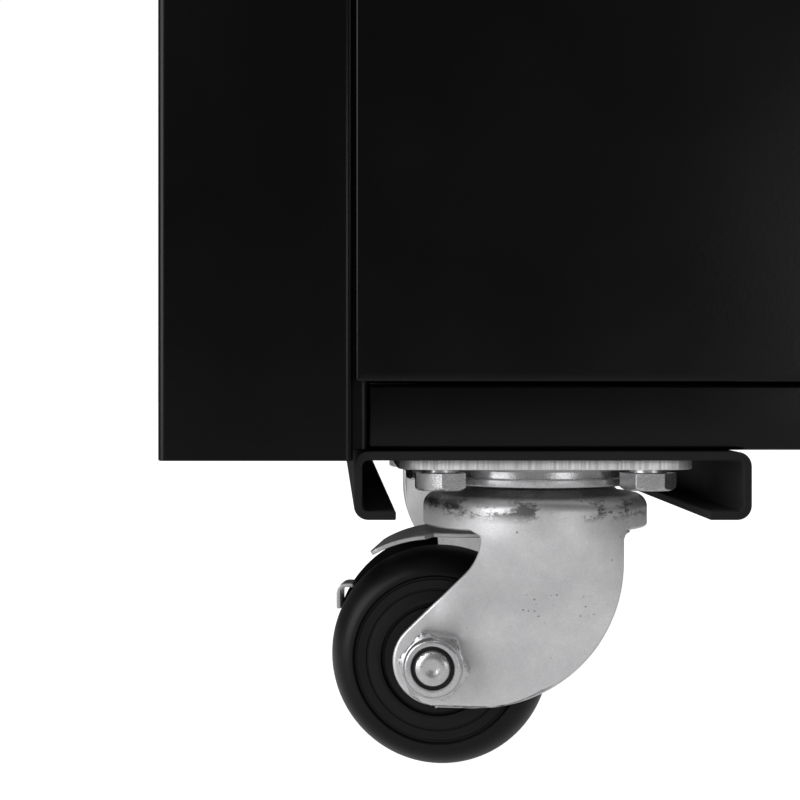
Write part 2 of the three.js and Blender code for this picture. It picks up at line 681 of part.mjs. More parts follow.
// One leg of the fork on the +y side. Its edges come from z: a round front edge, a round end
// about the axle, a 45 degree rear edge and a round root. Its face follows the crown's circle
// at the top and turns flat beside the wheel.
function forkLeg() {
  const legFoot = axleHeight - LEG_BOTTOM;
  const frontTop = crownFoot - LEG_FRONT_DROP;
  const frontRadius = frontTop - legFoot;
  const frontX = LEG_FRONT - frontRadius;
  const slope = CASTER_TRAIL + axleHeight + LEG_END_RADIUS * Math.SQRT2;
  const rootX = LEG_ROOT + LEG_ROOT_RADIUS;
  const rootZ = slope + LEG_ROOT_RADIUS * Math.SQRT2 - rootX;
  const tangentZ = axleHeight + LEG_END_RADIUS / Math.SQRT2;
  const front = (z) => {
    if (z > frontTop) return LEG_FRONT;
    return frontX + Math.sqrt(Math.max(frontRadius ** 2 - (frontTop - z) ** 2, 0));
  };
  const rear = (z) => {
    if (z < tangentZ) {
      const drop = Math.min(Math.abs(z - axleHeight), LEG_END_RADIUS);
      return CASTER_TRAIL + Math.sqrt(LEG_END_RADIUS ** 2 - drop ** 2);
    }
    if (z < rootZ - LEG_ROOT_RADIUS / Math.SQRT2) return slope - z;
    if (z < rootZ) return rootX - Math.sqrt(LEG_ROOT_RADIUS ** 2 - (rootZ - z) ** 2);
    return LEG_ROOT;
  };
  const bendFoot = crownFoot - LEG_BEND_HEIGHT;
  const face = (x, z) => {
    const share = THREE.MathUtils.smoothstep(z, bendFoot, crownFoot);
    const round = Math.sqrt(Math.max((CROWN_RADIUS - LEG_INSET) ** 2 - x ** 2, 0));
    return forkOuter + (round - forkOuter) * share;
  };
  const legTop = crownFoot + LEG_LAP;
  const rows = 11;
  const columns = 5;
  const positions = [];
  const index = [];
  for (const depth of [0, FORK_SHEET]) {
    for (let j = 0; j <= rows; j += 1) {
      const z = legFoot + (legTop - legFoot) * (j / rows) ** LEG_ROW_GROWTH;
      for (let i = 0; i <= columns; i += 1) {
        const x = THREE.MathUtils.lerp(-rear(z), front(z), i / columns);
        positions.push(x, face(x, z) - depth, z);
      }
    }
  }
  const at = (layer, i, j) => layer * (rows + 1) * (columns + 1) + j * (columns + 1) + i;
  const quad = (a, b, c, d) => index.push(a, b, c, a, c, d);
  for (let j = 0; j < rows; j += 1) {
    for (let i = 0; i < columns; i += 1) {
      quad(at(0, i, j), at(0, i, j + 1), at(0, i + 1, j + 1), at(0, i + 1, j));
      quad(at(1, i, j), at(1, i + 1, j), at(1, i + 1, j + 1), at(1, i, j + 1));
    }
    quad(at(0, 0, j), at(1, 0, j), at(1, 0, j + 1), at(0, 0, j + 1));
    quad(at(0, columns, j), at(0, columns, j + 1), at(1, columns, j + 1), at(1, columns, j));
  }
  for (let i = 0; i < columns; i += 1) {
    quad(at(0, i, 0), at(0, i + 1, 0), at(1, i + 1, 0), at(1, i, 0));
    quad(at(0, i, rows), at(1, i, rows), at(1, i + 1, rows), at(0, i + 1, rows));
  }
  const geometry = new THREE.BufferGeometry();
  geometry.setAttribute('position', new THREE.BufferAttribute(new Float32Array(positions), 3));
  geometry.setIndex(index);
  return geometry;
}

// The axle's clearance hole through both legs of a fork or bracket.
function axleBore(x) {
  return rod('y', [x, axleHeight], AXLE_RADIUS + AXLE_CLEARANCE, -axleEnd, axleEnd, 16);
}

function fork() {
  const leg = forkLeg();
  const other = leg.clone().scale(1, -1, 1);
  other.setIndex([...other.index.array].reverse());
  return cut(join(crown(), leg, other), axleBore(-CASTER_TRAIL));
}

// The wheel turned about the axle: its tread is a half ellipse from face to face.
function wheel() {
  const half = WHEEL_WIDTH / 2;
  const boss = forkInner - HUB_PLAY;
  const bore = AXLE_RADIUS + AXLE_CLEARANCE;
  const face = half - WHEEL_HUB_RECESS;
  const tread = [75, 50, 25].map((degrees) => {
    const angle = THREE.MathUtils.degToRad(degrees);
    const drop = TREAD_ROUND * (1 - Math.cos(angle));
    return [WHEEL_RADIUS - drop, half * Math.sin(angle)];
  });
  const side = [
    [bore, boss],
    [HUB_BOSS_RADIUS, boss],
    [HUB_BOSS_RADIUS + HUB_BOSS_SLOPE, face],
    [WHEEL_HUB_RADIUS, face],
    [WHEEL_HUB_RADIUS + WHEEL_HUB_SLOPE, half],
    ...tread,
  ];
  const near = side.map(([r, y]) => [r, -y]);
  const profile = [...near, [WHEEL_RADIUS, 0], ...side.reverse(), [bore, -boss]];
  return new THREE.LatheGeometry(profile.map(([r, y]) => new THREE.Vector2(r, y)), 24);
}

function axleBolt() {
  return join(
    rod('y', [0, 0], AXLE_RADIUS, -axleEnd, axleSeat + JOIN_DEPTH, 16),
    hexagon('y', [0, 0], AXLE_HEX, axleSeat, axleSeat + AXLE_HEAD),
  );
}

function axleNut() {
  const hexEnd = -axleSeat - NUT_HEIGHT;
  const turn = THREE.MathUtils.degToRad(NUT_TURN);
  const body = join(
    hexagon('y', [0, 0], AXLE_HEX, hexEnd, -axleSeat).rotateY(turn),
    rod('y', [0, 0], NUT_COLLAR_RADIUS, hexEnd - NUT_COLLAR, hexEnd + JOIN_DEPTH, 24),
  );
  const threadRadius = AXLE_RADIUS + AXLE_CLEARANCE;
  return cut(body, rod('y', [0, 0], threadRadius, -axleEnd - CUT_PAST, 0, 16));
}

// The brake pedal turns on a pin across the fork: a tongue back over the wheel and a guard bent
// over the tyre. On its far side a flange runs down beside the wheel to a foot tab.
function brakePedal() {
  const inner = WHEEL_RADIUS + BRAKE_GAP;
  const outer = inner + BRAKE_SHEET;
  const armInner = inner - BRAKE_ARM_DEPTH;
  const sector = (from, to, low, high) => {
    const start = Math.PI / 2 + from;
    const end = Math.PI / 2 + to;
    const shape = new THREE.Shape();
    shape.absarc(-CASTER_TRAIL, axleHeight, high, start, end, false);
    shape.absarc(-CASTER_TRAIL, axleHeight, low, end, start, true);
    return shape;
  };
  const half = WHEEL_WIDTH / 2 + BRAKE_OVERHANG;
  const flangeFace = half - BRAKE_SHEET;
  const tabFace = half - BRAKE_TAB_WIDTH;
  const armStart = BRAKE_END - BRAKE_ARM_LAP;
  const armEnd = BRAKE_TAB_START + BRAKE_ARM_LAP;
  const guard = sector(BRAKE_START, BRAKE_END, inner, outer);
  const flange = sector(BRAKE_START, BRAKE_END, armInner, outer);
  const arm = sector(armStart, armEnd, armInner, inner - BRAKE_ARM_SINK);
  const foot = sector(BRAKE_TAB_START, BRAKE_TAB_END, armInner, outer);
  const tab = sector(BRAKE_TAB_START, BRAKE_TAB_END, inner, outer);
  const tongueFoot = axleHeight + inner;
  const tongueEnd = -CASTER_TRAIL - inner * Math.sin(BRAKE_START) - JOIN_DEPTH;
  return join(
    prism(guard, 'y', -half, half, 6),
    prism(flange, 'y', flangeFace, half, 6),
    prism(arm, 'y', flangeFace, half, 3),
    prism(foot, 'y', flangeFace, half, 3),
    prism(tab, 'y', tabFace, half, 3),
    box(
      [tongueEnd, -BRAKE_TONGUE / 2, tongueFoot],
      [-BRAKE_PIVOT_X, BRAKE_TONGUE / 2, tongueFoot + BRAKE_SHEET],
    ),
    rod(
      'y',
      [-BRAKE_PIVOT_X, brakePivotHeight],
      BRAKE_PIVOT_RADIUS,
      -BRAKE_PIN / 2,
      BRAKE_PIN / 2,
      14,
    ),
  );
}

// A rigid bracket: a bolted plate with a folded U welded under it, its legs narrowing to round
// ends about the axle.
function rigidBracket() {
  const shoulder = RIGID_LEG_TOP / 2;
  const drop = plateFoot - FORK_SHEET - axleHeight;
  const spread = Math.acos(LEG_END_RADIUS / Math.hypot(shoulder, drop));
  const tangent = Math.PI - Math.atan2(drop, shoulder) + spread;
  const webTop = plateFoot + JOIN_DEPTH;
  const leg = new THREE.Shape();
  leg.moveTo(-shoulder, webTop);
  leg.lineTo(-shoulder, plateFoot - FORK_SHEET);
  leg.absarc(0, axleHeight, LEG_END_RADIUS, tangent, 3 * Math.PI - tangent, false);
  leg.lineTo(shoulder, plateFoot - FORK_SHEET);
  leg.lineTo(shoulder, webTop);
  const welded = join(
    boltedPlate(),
    box([-shoulder, -forkOuter, plateFoot - FORK_SHEET], [shoulder, forkOuter, webTop]),
    prism(leg, 'y', forkInner, forkOuter, 12),
    prism(leg, 'y', -forkOuter, -forkInner, 12),
  );
  return cut(welded, axleBore(0));
}

function addCaster(place, x, y, turn) {
  const swivels = turn !== null;
  const mount = new THREE.Group();
  mount.position.set(x, y, 0);
  chest.add(mount);
  const running = new THREE.Group();
  running.rotation.z = THREE.MathUtils.degToRad(turn ?? 0);
  mount.add(running);
  const name = (piece) => `caster_${place}_${piece}`;
  const axleX = swivels ? -CASTER_TRAIL : 0;
  if (swivels) {
    addPiece(name('plate'), swivelPlate(), 'zinc', mount);
    addPiece(name('fork'), fork(), 'zinc', running);
    addPiece(name('brake_pedal'), brakePedal(), 'zinc', running);
  } else {
    addPiece(name('bracket'), rigidBracket(), 'zinc', mount);
  }
  for (const [piece, geometry, finish] of [
    ['wheel', wheel(), 'rubber'],
    ['axle_bolt', axleBolt(), 'zinc'],
    ['axle_nut', axleNut(), 'zinc'],
  ]) {
    addPiece(name(piece), geometry, finish, running).position.set(axleX, 0, axleHeight);
  }
}

const casterRight = BODY_WIDTH - casterX;
const casterBack = BODY_DEPTH - casterY;
addCaster('front_left', casterX, casterY, SWIVEL_FRONT_TURN);
addCaster('rear_left', casterX, casterBack, SWIVEL_REAR_TURN);
addCaster('front_right', casterRight, casterY, null);
addCaster('rear_right', casterRight, casterBack, null);

const toolChest = new THREE.Group();
chest.position.set(-(BODY_WIDTH - handleReach) / 2, -(BODY_DEPTH - PULL_REACH) / 2, 0);
toolChest.add(chest);

export default toolChest;
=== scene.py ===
import math

import bmesh
import bpy
import numpy as np
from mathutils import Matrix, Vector


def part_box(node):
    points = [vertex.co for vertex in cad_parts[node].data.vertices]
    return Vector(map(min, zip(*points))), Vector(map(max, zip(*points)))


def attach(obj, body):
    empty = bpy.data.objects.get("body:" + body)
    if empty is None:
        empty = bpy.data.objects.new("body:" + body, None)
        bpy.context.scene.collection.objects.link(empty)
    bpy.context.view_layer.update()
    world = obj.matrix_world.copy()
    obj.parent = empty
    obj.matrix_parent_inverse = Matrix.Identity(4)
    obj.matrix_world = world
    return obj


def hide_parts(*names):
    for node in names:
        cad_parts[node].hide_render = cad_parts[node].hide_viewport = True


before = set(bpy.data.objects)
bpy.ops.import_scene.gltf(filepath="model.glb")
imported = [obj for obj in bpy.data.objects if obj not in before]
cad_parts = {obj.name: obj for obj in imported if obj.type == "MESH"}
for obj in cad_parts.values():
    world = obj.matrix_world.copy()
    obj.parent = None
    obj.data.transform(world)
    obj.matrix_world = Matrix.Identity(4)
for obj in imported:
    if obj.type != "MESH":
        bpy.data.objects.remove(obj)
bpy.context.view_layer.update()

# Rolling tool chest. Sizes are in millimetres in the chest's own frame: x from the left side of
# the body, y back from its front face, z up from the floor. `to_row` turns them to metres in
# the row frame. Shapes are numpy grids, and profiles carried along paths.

MM = 0.001
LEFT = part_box("side_panel_left")[0].x / MM
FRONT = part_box("side_panel_left")[0].y / MM
WIDTH = (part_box("side_panel_right")[1].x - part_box("side_panel_left")[0].x) / MM


def span(node):
    """A node's low and high corner in the chest's frame, in millimetres."""
    shift = np.array([LEFT, FRONT, 0.0])
    low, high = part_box(node)
    return np.array(low) / MM - shift, np.array(high) / MM - shift


def to_row(points):
    """Millimetres in the chest's frame to metres in the row frame."""
    return (np.asarray(points, float) + [LEFT, FRONT, 0.0]) * MM


# ---- Finishes -----------------------------------------------------------------------------


def linear(colour):
    """An sRGB hex colour as linear RGBA."""
    parts = np.array([int(colour[i:i + 2], 16) for i in (1, 3, 5)]) / 255
    low = parts / 12.92
    high = ((parts + 0.055) / 1.055) ** 2.4
    return (*np.where(parts <= 0.04045, low, high), 1.0)


def add(tree, kind, settings=None, **inputs):
    """Adds one node with its settings, and sets or links its inputs: each by its name, or by its
    number after an i."""
    node = tree.nodes.new(kind)
    for key, value in (settings or {}).items():
        setattr(node, key, value)
    for key, value in inputs.items():
        number = key[1:]
        socket = node.inputs[int(number) if number.isdigit() else key.replace("_", " ")]
        if isinstance(value, bpy.types.NodeSocket):
            tree.links.new(value, socket)
        else:
            socket.default_value = value
    return node


def start_finish(name, **shader_values):
    """A material with its shader's constant values, and the object coordinates for its patterns."""
    material = bpy.data.materials.new(name)
    material.use_nodes = True
    tree = material.node_tree
    shader = tree.nodes["Principled BSDF"]
    for key, value in shader_values.items():
        shader.inputs[key.replace("_", " ")].default_value = value
    coords = tree.nodes.new("ShaderNodeTexCoord").outputs["Object"]
    return material, tree, shader, coords


def ramp(tree, value, stops):
    """A colour ramp through (position, hex colour) stops."""
    node = add(tree, "ShaderNodeValToRGB", Fac=value)
    elements = node.color_ramp.elements
    while len(elements) < len(stops):
        elements.new(0.5)
    for element, (place, colour) in zip(elements, stops):
        element.position = place
        element.color = linear(colour)
    return node.outputs["Color"]


def level(tree, value, low, high, to_low, to_high):
    """Maps a value's range to another range, clamped."""
    limits = {"From_Min": low, "From_Max": high, "To_Min": to_low, "To_Max": to_high}
    node = add(tree, "ShaderNodeMapRange", Value=value, **limits)
    return node.outputs["Result"]


def tinted(tree, colour, factor):
    """A colour multiplied by a grey factor."""
    settings = {"data_type": "RGBA", "blend_type": "MULTIPLY"}
    return add(tree, "ShaderNodeMix", settings, i0=1.0, i6=colour, i7=factor).outputs[2]


def times(tree, first, second):
    """The product of two values."""
    return add(tree, "ShaderNodeMath", {"operation": "MULTIPLY"}, i0=first, i1=second).outputs["Value"]


def black_enamel():
    """Gloss black baked enamel sprayed on sheet steel: deep, faintly rippled like orange peel."""
    material, tree, shader, coords = start_finish("black_enamel", IOR=1.5, Specular_IOR_Level=0.17)
    tint = add(tree, "ShaderNodeTexNoise", Vector=coords, Scale=9.0, Detail=2.0).outputs["Fac"]
    tree.links.new(ramp(tree, tint, [(0.3, "#050505"), (0.75, "#070707")]), shader.inputs["Base Color"])
    haze = add(tree, "ShaderNodeTexNoise", Vector=coords, Scale=22.0, Detail=3.0).outputs["Fac"]
    tree.links.new(level(tree, haze, 0.3, 0.7, 0.2, 0.27), shader.inputs["Roughness"])
    # Orange peel: ripples about 1.5 mm across.
    peel = add(tree, "ShaderNodeTexNoise", Vector=coords, Scale=650.0, Detail=1.0).outputs["Fac"]
    bump = add(tree, "ShaderNodeBump", Height=peel, Strength=0.05, Distance=0.0003)
    tree.links.new(bump.outputs["Normal"], shader.inputs["Normal"])
    return material


def zinc_plate(name, bright, dark, rough_low, rough_high):
    """Bright zinc electroplate on pressed steel: satin sheen, cloudy patches, small dark pits."""
    material, tree, shader, coords = start_finish(name, Metallic=0.8)
    # Clouds in the plating about 18 mm across.
    patchy = {"Scale": 55.0, "Detail": 6.0, "Roughness": 0.7}
    clouds = add(tree, "ShaderNodeTexNoise", Vector=coords, **patchy).outputs["Fac"]
    base = ramp(tree, clouds, [(0.3, dark), (0.7, bright)])
    # Pits about 0.3 mm across; a slow noise leaves most of the skin without any.
    cells = add(tree, "ShaderNodeTexVoronoi", Vector=coords, Scale=420.0).outputs["Distance"]
    where = add(tree, "ShaderNodeTexNoise", Vector=coords, Scale=75.0, Detail=2.0).outputs["Fac"]
    pit = times(tree, level(tree, cells, 0.1, 0.2, 1.0, 0.0), level(tree, where, 0.56, 0.64, 0.0, 1.0))
    shade = tinted(tree, base, level(tree, pit, 0.0, 1.0, 1.0, 0.4))
    # Grain of the plated skin, about 0.4 mm.
    grain = add(tree, "ShaderNodeTexNoise", Vector=coords, Scale=2200.0, Detail=4.0).outputs["Fac"]
    shade = tinted(tree, shade, level(tree, grain, 0.3, 0.7, 0.86, 1.0))
    tree.links.new(shade, shader.inputs["Base Color"])
    tree.links.new(level(tree, clouds, 0.35, 0.7, rough_high, rough_low), shader.inputs["Roughness"])
    waves = add(tree, "ShaderNodeTexNoise", Vector=coords, Scale=120.0, Detail=3.0).outputs["Fac"]
    broad = add(tree, "ShaderNodeBump", Height=waves, Strength=0.3, Distance=0.0006)
    over = broad.outputs["Normal"]
    bump = add(tree, "ShaderNodeBump", Height=grain, Strength=0.2, Distance=0.0002, Normal=over)
    tree.links.new(bump.outputs["Normal"], shader.inputs["Normal"])
    return material


def fork_zinc_scuffs_and_reflections():
    """The zinc-plated fork: the same plate, with dark broken patches round the crown's shoulder: partly
    scuffs where the press drew the metal, partly painted reflections of the dark surroundings."""
    material = zinc_plate("fork_zinc_scuffs_and_reflections", "#d8d8d9", "#c6c6c8", 0.4, 0.5)
    tree = material.node_tree
    shader = tree.nodes["Principled BSDF"]
    coords = tree.nodes["Texture Coordinate"].outputs["Object"]
    height = add(tree, "ShaderNodeSeparateXYZ", Vector=coords).outputs["Z"]
    # The band of scuffs and painted dark reflections starts about 3 mm above the skirt's foot and thins
    # out over the shoulder.
    foot, top = CROWN_FOOT * MM, (CROWN_FOOT + 11.5) * MM
    above = level(tree, height, foot + 0.0028, foot + 0.0062, 0.0, 1.0)
    below = level(tree, height, top - 0.0035, top, 1.0, 0.35)
    band = times(tree, above, below)
    # Patches about 17 mm long and 8 mm high with ragged edges.
    flat = add(tree, "ShaderNodeMapping", Vector=coords, Scale=(1.0, 1.0, 2.2)).outputs["Vector"]
    ragged = {"Scale": 58.0, "Detail": 9.0, "Roughness": 0.78}
    patches = add(tree, "ShaderNodeTexNoise", Vector=flat, **ragged).outputs["Fac"]
    # Painted dark reflection mixed with scuffs: the patches darken the base colour down to 0.22.
    scuff_and_dark_reflection = times(tree, level(tree, patches, 0.49, 0.54, 0.0, 1.0), band)
    base = shader.inputs["Base Color"].links[0].from_socket
    darkened_patches = tinted(tree, base, level(tree, scuff_and_dark_reflection, 0.0, 1.0, 1.0, 0.22))
    tree.links.new(darkened_patches, shader.inputs["Base Color"])
    return material


def sheared_zinc():
    """The plated caster plate: its cut edge keeps the fine upright lines of the shear."""
    material, tree, shader, coords = start_finish("sheared_zinc", Metallic=0.55)
    clouds = add(tree, "ShaderNodeTexNoise", Vector=coords, Scale=70.0, Detail=4.0).outputs["Fac"]
    base = ramp(tree, clouds, [(0.3, "#dededf"), (0.6, "#f0f0f0")])
    # Shear lines 0.8 mm apart, squeezed flat in z so that they stand upright.
    squeezed = add(tree, "ShaderNodeMapping", Vector=coords, Scale=(1.0, 1.0, 0.04)).outputs["Vector"]
    lines = add(tree, "ShaderNodeTexNoise", Vector=squeezed, Scale=1250.0, Detail=1.0).outputs["Fac"]
    facing = add(tree, "ShaderNodeNewGeometry").outputs["Normal"]
    up = add(tree, "ShaderNodeSeparateXYZ", Vector=facing).outputs["Z"]
    side = add(tree, "ShaderNodeMath", {"operation": "ABSOLUTE"}, i0=up).outputs["Value"]
    on_edge = level(tree, side, 0.3, 0.7, 1.0, 0.0)
    dim = level(tree, lines, 0.35, 0.65, 0.66, 1.0)
    settings = {"data_type": "RGBA", "blend_type": "MULTIPLY"}
    shaded = add(tree, "ShaderNodeMix", settings, i0=on_edge, i6=base, i7=dim).outputs[2]
    tree.links.new(shaded, shader.inputs["Base Color"])
    tree.links.new(level(tree, lines, 0.3, 0.7, 0.5, 0.35), shader.inputs["Roughness"])
    bump = add(tree, "ShaderNodeBump", Height=lines, Strength=0.25, Distance=0.0002)
    tree.links.new(bump.outputs["Normal"], shader.inputs["Normal"])
    return material


def plain_metal(name, colour, darker, roughness, grain_scale):
    """A plain metal: clouds about 22 mm across in its tone, over grain at the given scale."""
    material, tree, shader, coords = start_finish(name, Metallic=1.0)
    clouds = add(tree, "ShaderNodeTexNoise", Vector=coords, Scale=45.0, Detail=4.0).outputs["Fac"]
    tree.links.new(ramp(tree, clouds, [(0.3, darker), (0.7, colour)]), shader.inputs["Base Color"])
    sheen = level(tree, clouds, 0.3, 0.7, roughness * 1.15, roughness * 0.9)
    tree.links.new(sheen, shader.inputs["Roughness"])
    grain = add(tree, "ShaderNodeTexNoise", Vector=coords, Scale=grain_scale, Detail=2.0).outputs["Fac"]
    bump = add(tree, "ShaderNodeBump", Height=grain, Strength=0.06, Distance=0.0002)
    tree.links.new(bump.outputs["Normal"], shader.inputs["Normal"])
    return material


def brushed_aluminium():
    """Satin anodised aluminium extrusion, brushed along x."""
    material, tree, shader, coords = start_finish("brushed_aluminium", Metallic=1.0)
    # Brush lines about 0.4 mm apart and 60 mm long.
    drawn = add(tree, "ShaderNodeMapping", Vector=coords, Scale=(0.007, 1.0, 1.0)).outputs["Vector"]
    lines = add(tree, "ShaderNodeTexNoise", Vector=drawn, Scale=2400.0, Detail=2.0).outputs["Fac"]
    tree.links.new(ramp(tree, lines, [(0.3, "#a5a7a9"), (0.7, "#c2c4c6")]), shader.inputs["Base Color"])
    tree.links.new(level(tree, lines, 0.3, 0.7, 0.42, 0.3), shader.inputs["Roughness"])
    bump = add(tree, "ShaderNodeBump", Height=lines, Strength=0.08, Distance=0.0002)
    tree.links.new(bump.outputs["Normal"], shader.inputs["Normal"])
    return material


def matt_black(name, colour, lighter, roughness, grain_scale, strength):
    """A matt black skin with a fine grain and a thin film of dust in patches about 26 mm across."""
    material, tree, shader, coords = start_finish(name, IOR=1.5, Specular_IOR_Level=0.18)
    film = {"Scale": 38.0, "Detail": 6.0, "Roughness": 0.6}
    dust = add(tree, "ShaderNodeTexNoise", Vector=coords, **film).outputs["Fac"]
    tree.links.new(ramp(tree, dust, [(0.35, colour), (0.75, lighter)]), shader.inputs["Base Color"])
    tree.links.new(level(tree, dust, 0.3, 0.7, roughness, roughness + 0.12), shader.inputs["Roughness"])
    grain = add(tree, "ShaderNodeTexNoise", Vector=coords, Scale=grain_scale, Detail=3.0).outputs["Fac"]
    bump = add(tree, "ShaderNodeBump", Height=grain, Strength=strength, Distance=0.0003)
    tree.links.new(bump.outputs["Normal"], shader.inputs["Normal"])
    return material


ENAMEL = black_enamel()
# Zinc plate on the pressed brackets and the brake: satin grey-white, a little cloudy.
ZINC = zinc_plate("zinc_plate", "#cdcdce", "#aaaaac", 0.34, 0.46)
# Brighter zinc on turned and headed pieces: the same plate, with sharper glints.
BOLT_ZINC = zinc_plate("bolt_zinc", "#d0d0d1", "#a2a2a4", 0.2, 0.32)
SHEARED = sheared_zinc()
ALUMINIUM = brushed_aluminium()
# Rolled slide steel, zinc flashed and oiled: mid grey and satin, its grain 0.8 mm.
SLIDE_STEEL = plain_metal("slide_steel", "#b4b6b8", "#8f9194", 0.34, 1200.0)
# The brake's arm: nearly black as painted shade for the shadow it sits in under the guard, with a dull
# sheen, its grain 0.7 mm.
ARM_PAINTED_SHADE = plain_metal("arm_painted_shade", "#1c1c1d", "#121213", 0.5, 1500.0)
# Thin black dip coat on the rolled channels: flat, without a gloss, its grain 1.1 mm.
MATT_BLACK = matt_black("matt_black_coat", "#131313", "#1a1a1a", 0.7, 900.0, 0.08)
# Chrome plate on the handle and the lock: a mirror with waves about 3 mm long.
CHROME = plain_metal("chrome_plate", "#dcdddf", "#d2d3d5", 0.07, 300.0)
# Moulded tread rubber: black with a soft broad sheen, its grain 0.7 mm.
TYRE = matt_black("tyre_rubber", "#070708", "#0d0d0e", 0.36, 1500.0, 0.12)
# Moulded mat rubber: charcoal and dull, its grain 0.8 mm.
MAT = matt_black("mat_rubber", "#121213", "#1b1b1c", 0.6, 1300.0, 0.25)
# Moulded nylon of the nut's ring: black, a little glossier, its grain 0.6 mm.
NYLON = matt_black("black_nylon", "#101011", "#161617", 0.45, 1600.0, 0.05)

# ---- Mesh pieces --------------------------------------------------------------------------


def make(name, shape, finish, body, nodes=(), bevel=0.0, solidify=0.0, sharp=32.0, clamp=True):
    """A finished piece from (points in millimetres, faces), welded, riding on its body. A sheet
    is given its wall, and edges sharper than 40 degrees a round edge of the bevel's width."""
    points, faces = shape
    mesh = bpy.data.meshes.new(name)
    mesh.from_pydata(to_row(points).tolist(), [], [list(map(int, face)) for face in faces])
    piece = bpy.data.objects.new(name, mesh)
    bpy.context.scene.collection.objects.link(piece)
    weld(mesh)
    mesh.polygons.foreach_set("use_smooth", np.ones(len(mesh.polygons), bool))
    mesh.set_sharp_from_angle(angle=math.radians(sharp))
    if solidify:
        wall = piece.modifiers.new("wall", "SOLIDIFY")
        wall.thickness = solidify * MM
        wall.offset = -1.0
        wall.use_even_offset = True
    if bevel:
        edge = piece.modifiers.new("edge", "BEVEL")
        edge.width = bevel * MM
        edge.segments = 3
        edge.limit_method = "ANGLE"
        edge.angle_limit = math.radians(40)
        edge.harden_normals = True
        edge.use_clamp_overlap = clamp
    mesh.materials.append(finish)
    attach(piece, body)
    if nodes:
        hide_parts(*nodes)
    return piece


def weld(mesh):
    """Merges doubled points and turns every face outwards."""
    work = bmesh.new()
    work.from_mesh(mesh)
    bmesh.ops.remove_doubles(work, verts=work.verts, dist=1e-7)
    bmesh.ops.recalc_face_normals(work, faces=work.faces)
    work.to_mesh(mesh)
    work.free()


def quads(rows, columns, wrap_rows=False, wrap_columns=False):
    """The faces of a rows x columns grid of points, numbered row by row."""
    last_row = rows if wrap_rows else rows - 1
    last_column = columns if wrap_columns else columns - 1
    j, i = np.meshgrid(np.arange(last_row), np.arange(last_column), indexing="ij")
    a, b = j * columns + i, j * columns + (i + 1) % columns
    c = (j + 1) % rows * columns + (i + 1) % columns
    d = (j + 1) % rows * columns + i
    return np.stack([a, b, c, d], -1).reshape(-1, 4)


def merged(*shapes):
    """Several shapes as one."""
    points, faces, count = [], [], 0
    for shape_points, shape_faces in shapes:
        points.append(np.asarray(shape_points, float).reshape(-1, 3))
        faces += [[int(i) + count for i in face] for face in shape_faces]
        count += len(points[-1])
    return np.concatenate(points), faces


def rounded(corners, radii, steps=6):
    """A closed outline whose corners are arcs: each arc of radius r touches both sides at
    r * tan(half the turn) from its corner."""
    corners = np.asarray(corners, float)
    radii = np.broadcast_to(np.asarray(radii, float), len(corners))
    out = []
    for k, radius in enumerate(radii):
        here = corners[k]
        back = corners[k - 1] - here
        on = corners[(k + 1) % len(corners)] - here
        back, on = back / np.linalg.norm(back), on / np.linalg.norm(on)
        turn = math.pi - math.acos(np.clip(back @ on, -1, 1))
        if radius < 1e-6 or turn < 1e-4:
            out.append(here[None])
            continue
        reach = radius * math.tan(turn / 2)
        middle = (back + on) / np.linalg.norm(back + on)
        centre = here + middle * math.hypot(radius, reach)
        first = here + back * reach - centre
        sense = np.sign(back[0] * on[1] - back[1] * on[0])
        angles = -sense * turn * np.linspace(0, 1, steps + 1)
        cos, sin = np.cos(angles), np.sin(angles)
        swept = [first[0] * cos - first[1] * sin, first[0] * sin + first[1] * cos]
        out.append(centre + np.stack(swept, -1))
    return np.concatenate(out)


def folded(path, thickness, radius, steps=6):
    """The section of a sheet folded along a path of right angles: the path is its left face and
    its other face lies a thickness to the right."""
    path = np.asarray(path, float)
    along = np.diff(path, axis=0)
    along /= np.linalg.norm(along, axis=1)[:, None]
    right = np.stack([along[:, 1], -along[:, 0]], -1) * thickness
    other = path.copy()
    other[0] += right[0]
    other[-1] += right[-1]
    other[1:-1] += right[:-1] + right[1:]
    turn = np.sign(along[:-1, 0] * along[1:, 1] - along[:-1, 1] * along[1:, 0])
    face_radii = np.where(turn < 0, radius, radius - thickness)
    back_radii = np.where(turn < 0, radius - thickness, radius)
    corners = np.concatenate([path, other[::-1]])
    radii = np.concatenate([[0], face_radii, [0, 0], back_radii[::-1], [0]])
    return rounded(corners, radii, steps)


AXES = {"x": (1, 2, 0), "y": (0, 2, 1), "z": (0, 1, 2)}


def extruded(outline, axis, start, end):
    """A flat outline carried straight along an axis, closed by its two end faces."""
    first, second, along = AXES[axis]
    count = len(outline)
    points = np.zeros((2, count, 3))
    points[:, :, first] = outline[:, 0]
    points[:, :, second] = outline[:, 1]
    points[0, :, along], points[1, :, along] = start, end
    faces = [list(face) for face in quads(2, count, wrap_columns=True)]
    faces += [list(range(count)), list(range(count, 2 * count))]
    return points.reshape(-1, 3), faces


def turned(profile, sides=64, axis="z"):
    """A closed (radius, height) profile turned about an axis: each point runs round a circle."""
    profile = np.asarray(profile, float)
    angles = np.linspace(0, 2 * math.pi, sides, endpoint=False)
    ring = np.stack([np.cos(angles), np.sin(angles)], -1)
    points = np.zeros((len(profile), sides, 3))
    first, second, along = AXES[axis]
    points[..., first] = profile[:, :1] * ring[:, 0]
    points[..., second] = profile[:, :1] * ring[:, 1]
    points[..., along] = profile[:, 1:]
    return points.reshape(-1, 3), quads(len(profile), sides, wrap_rows=True, wrap_columns=True)


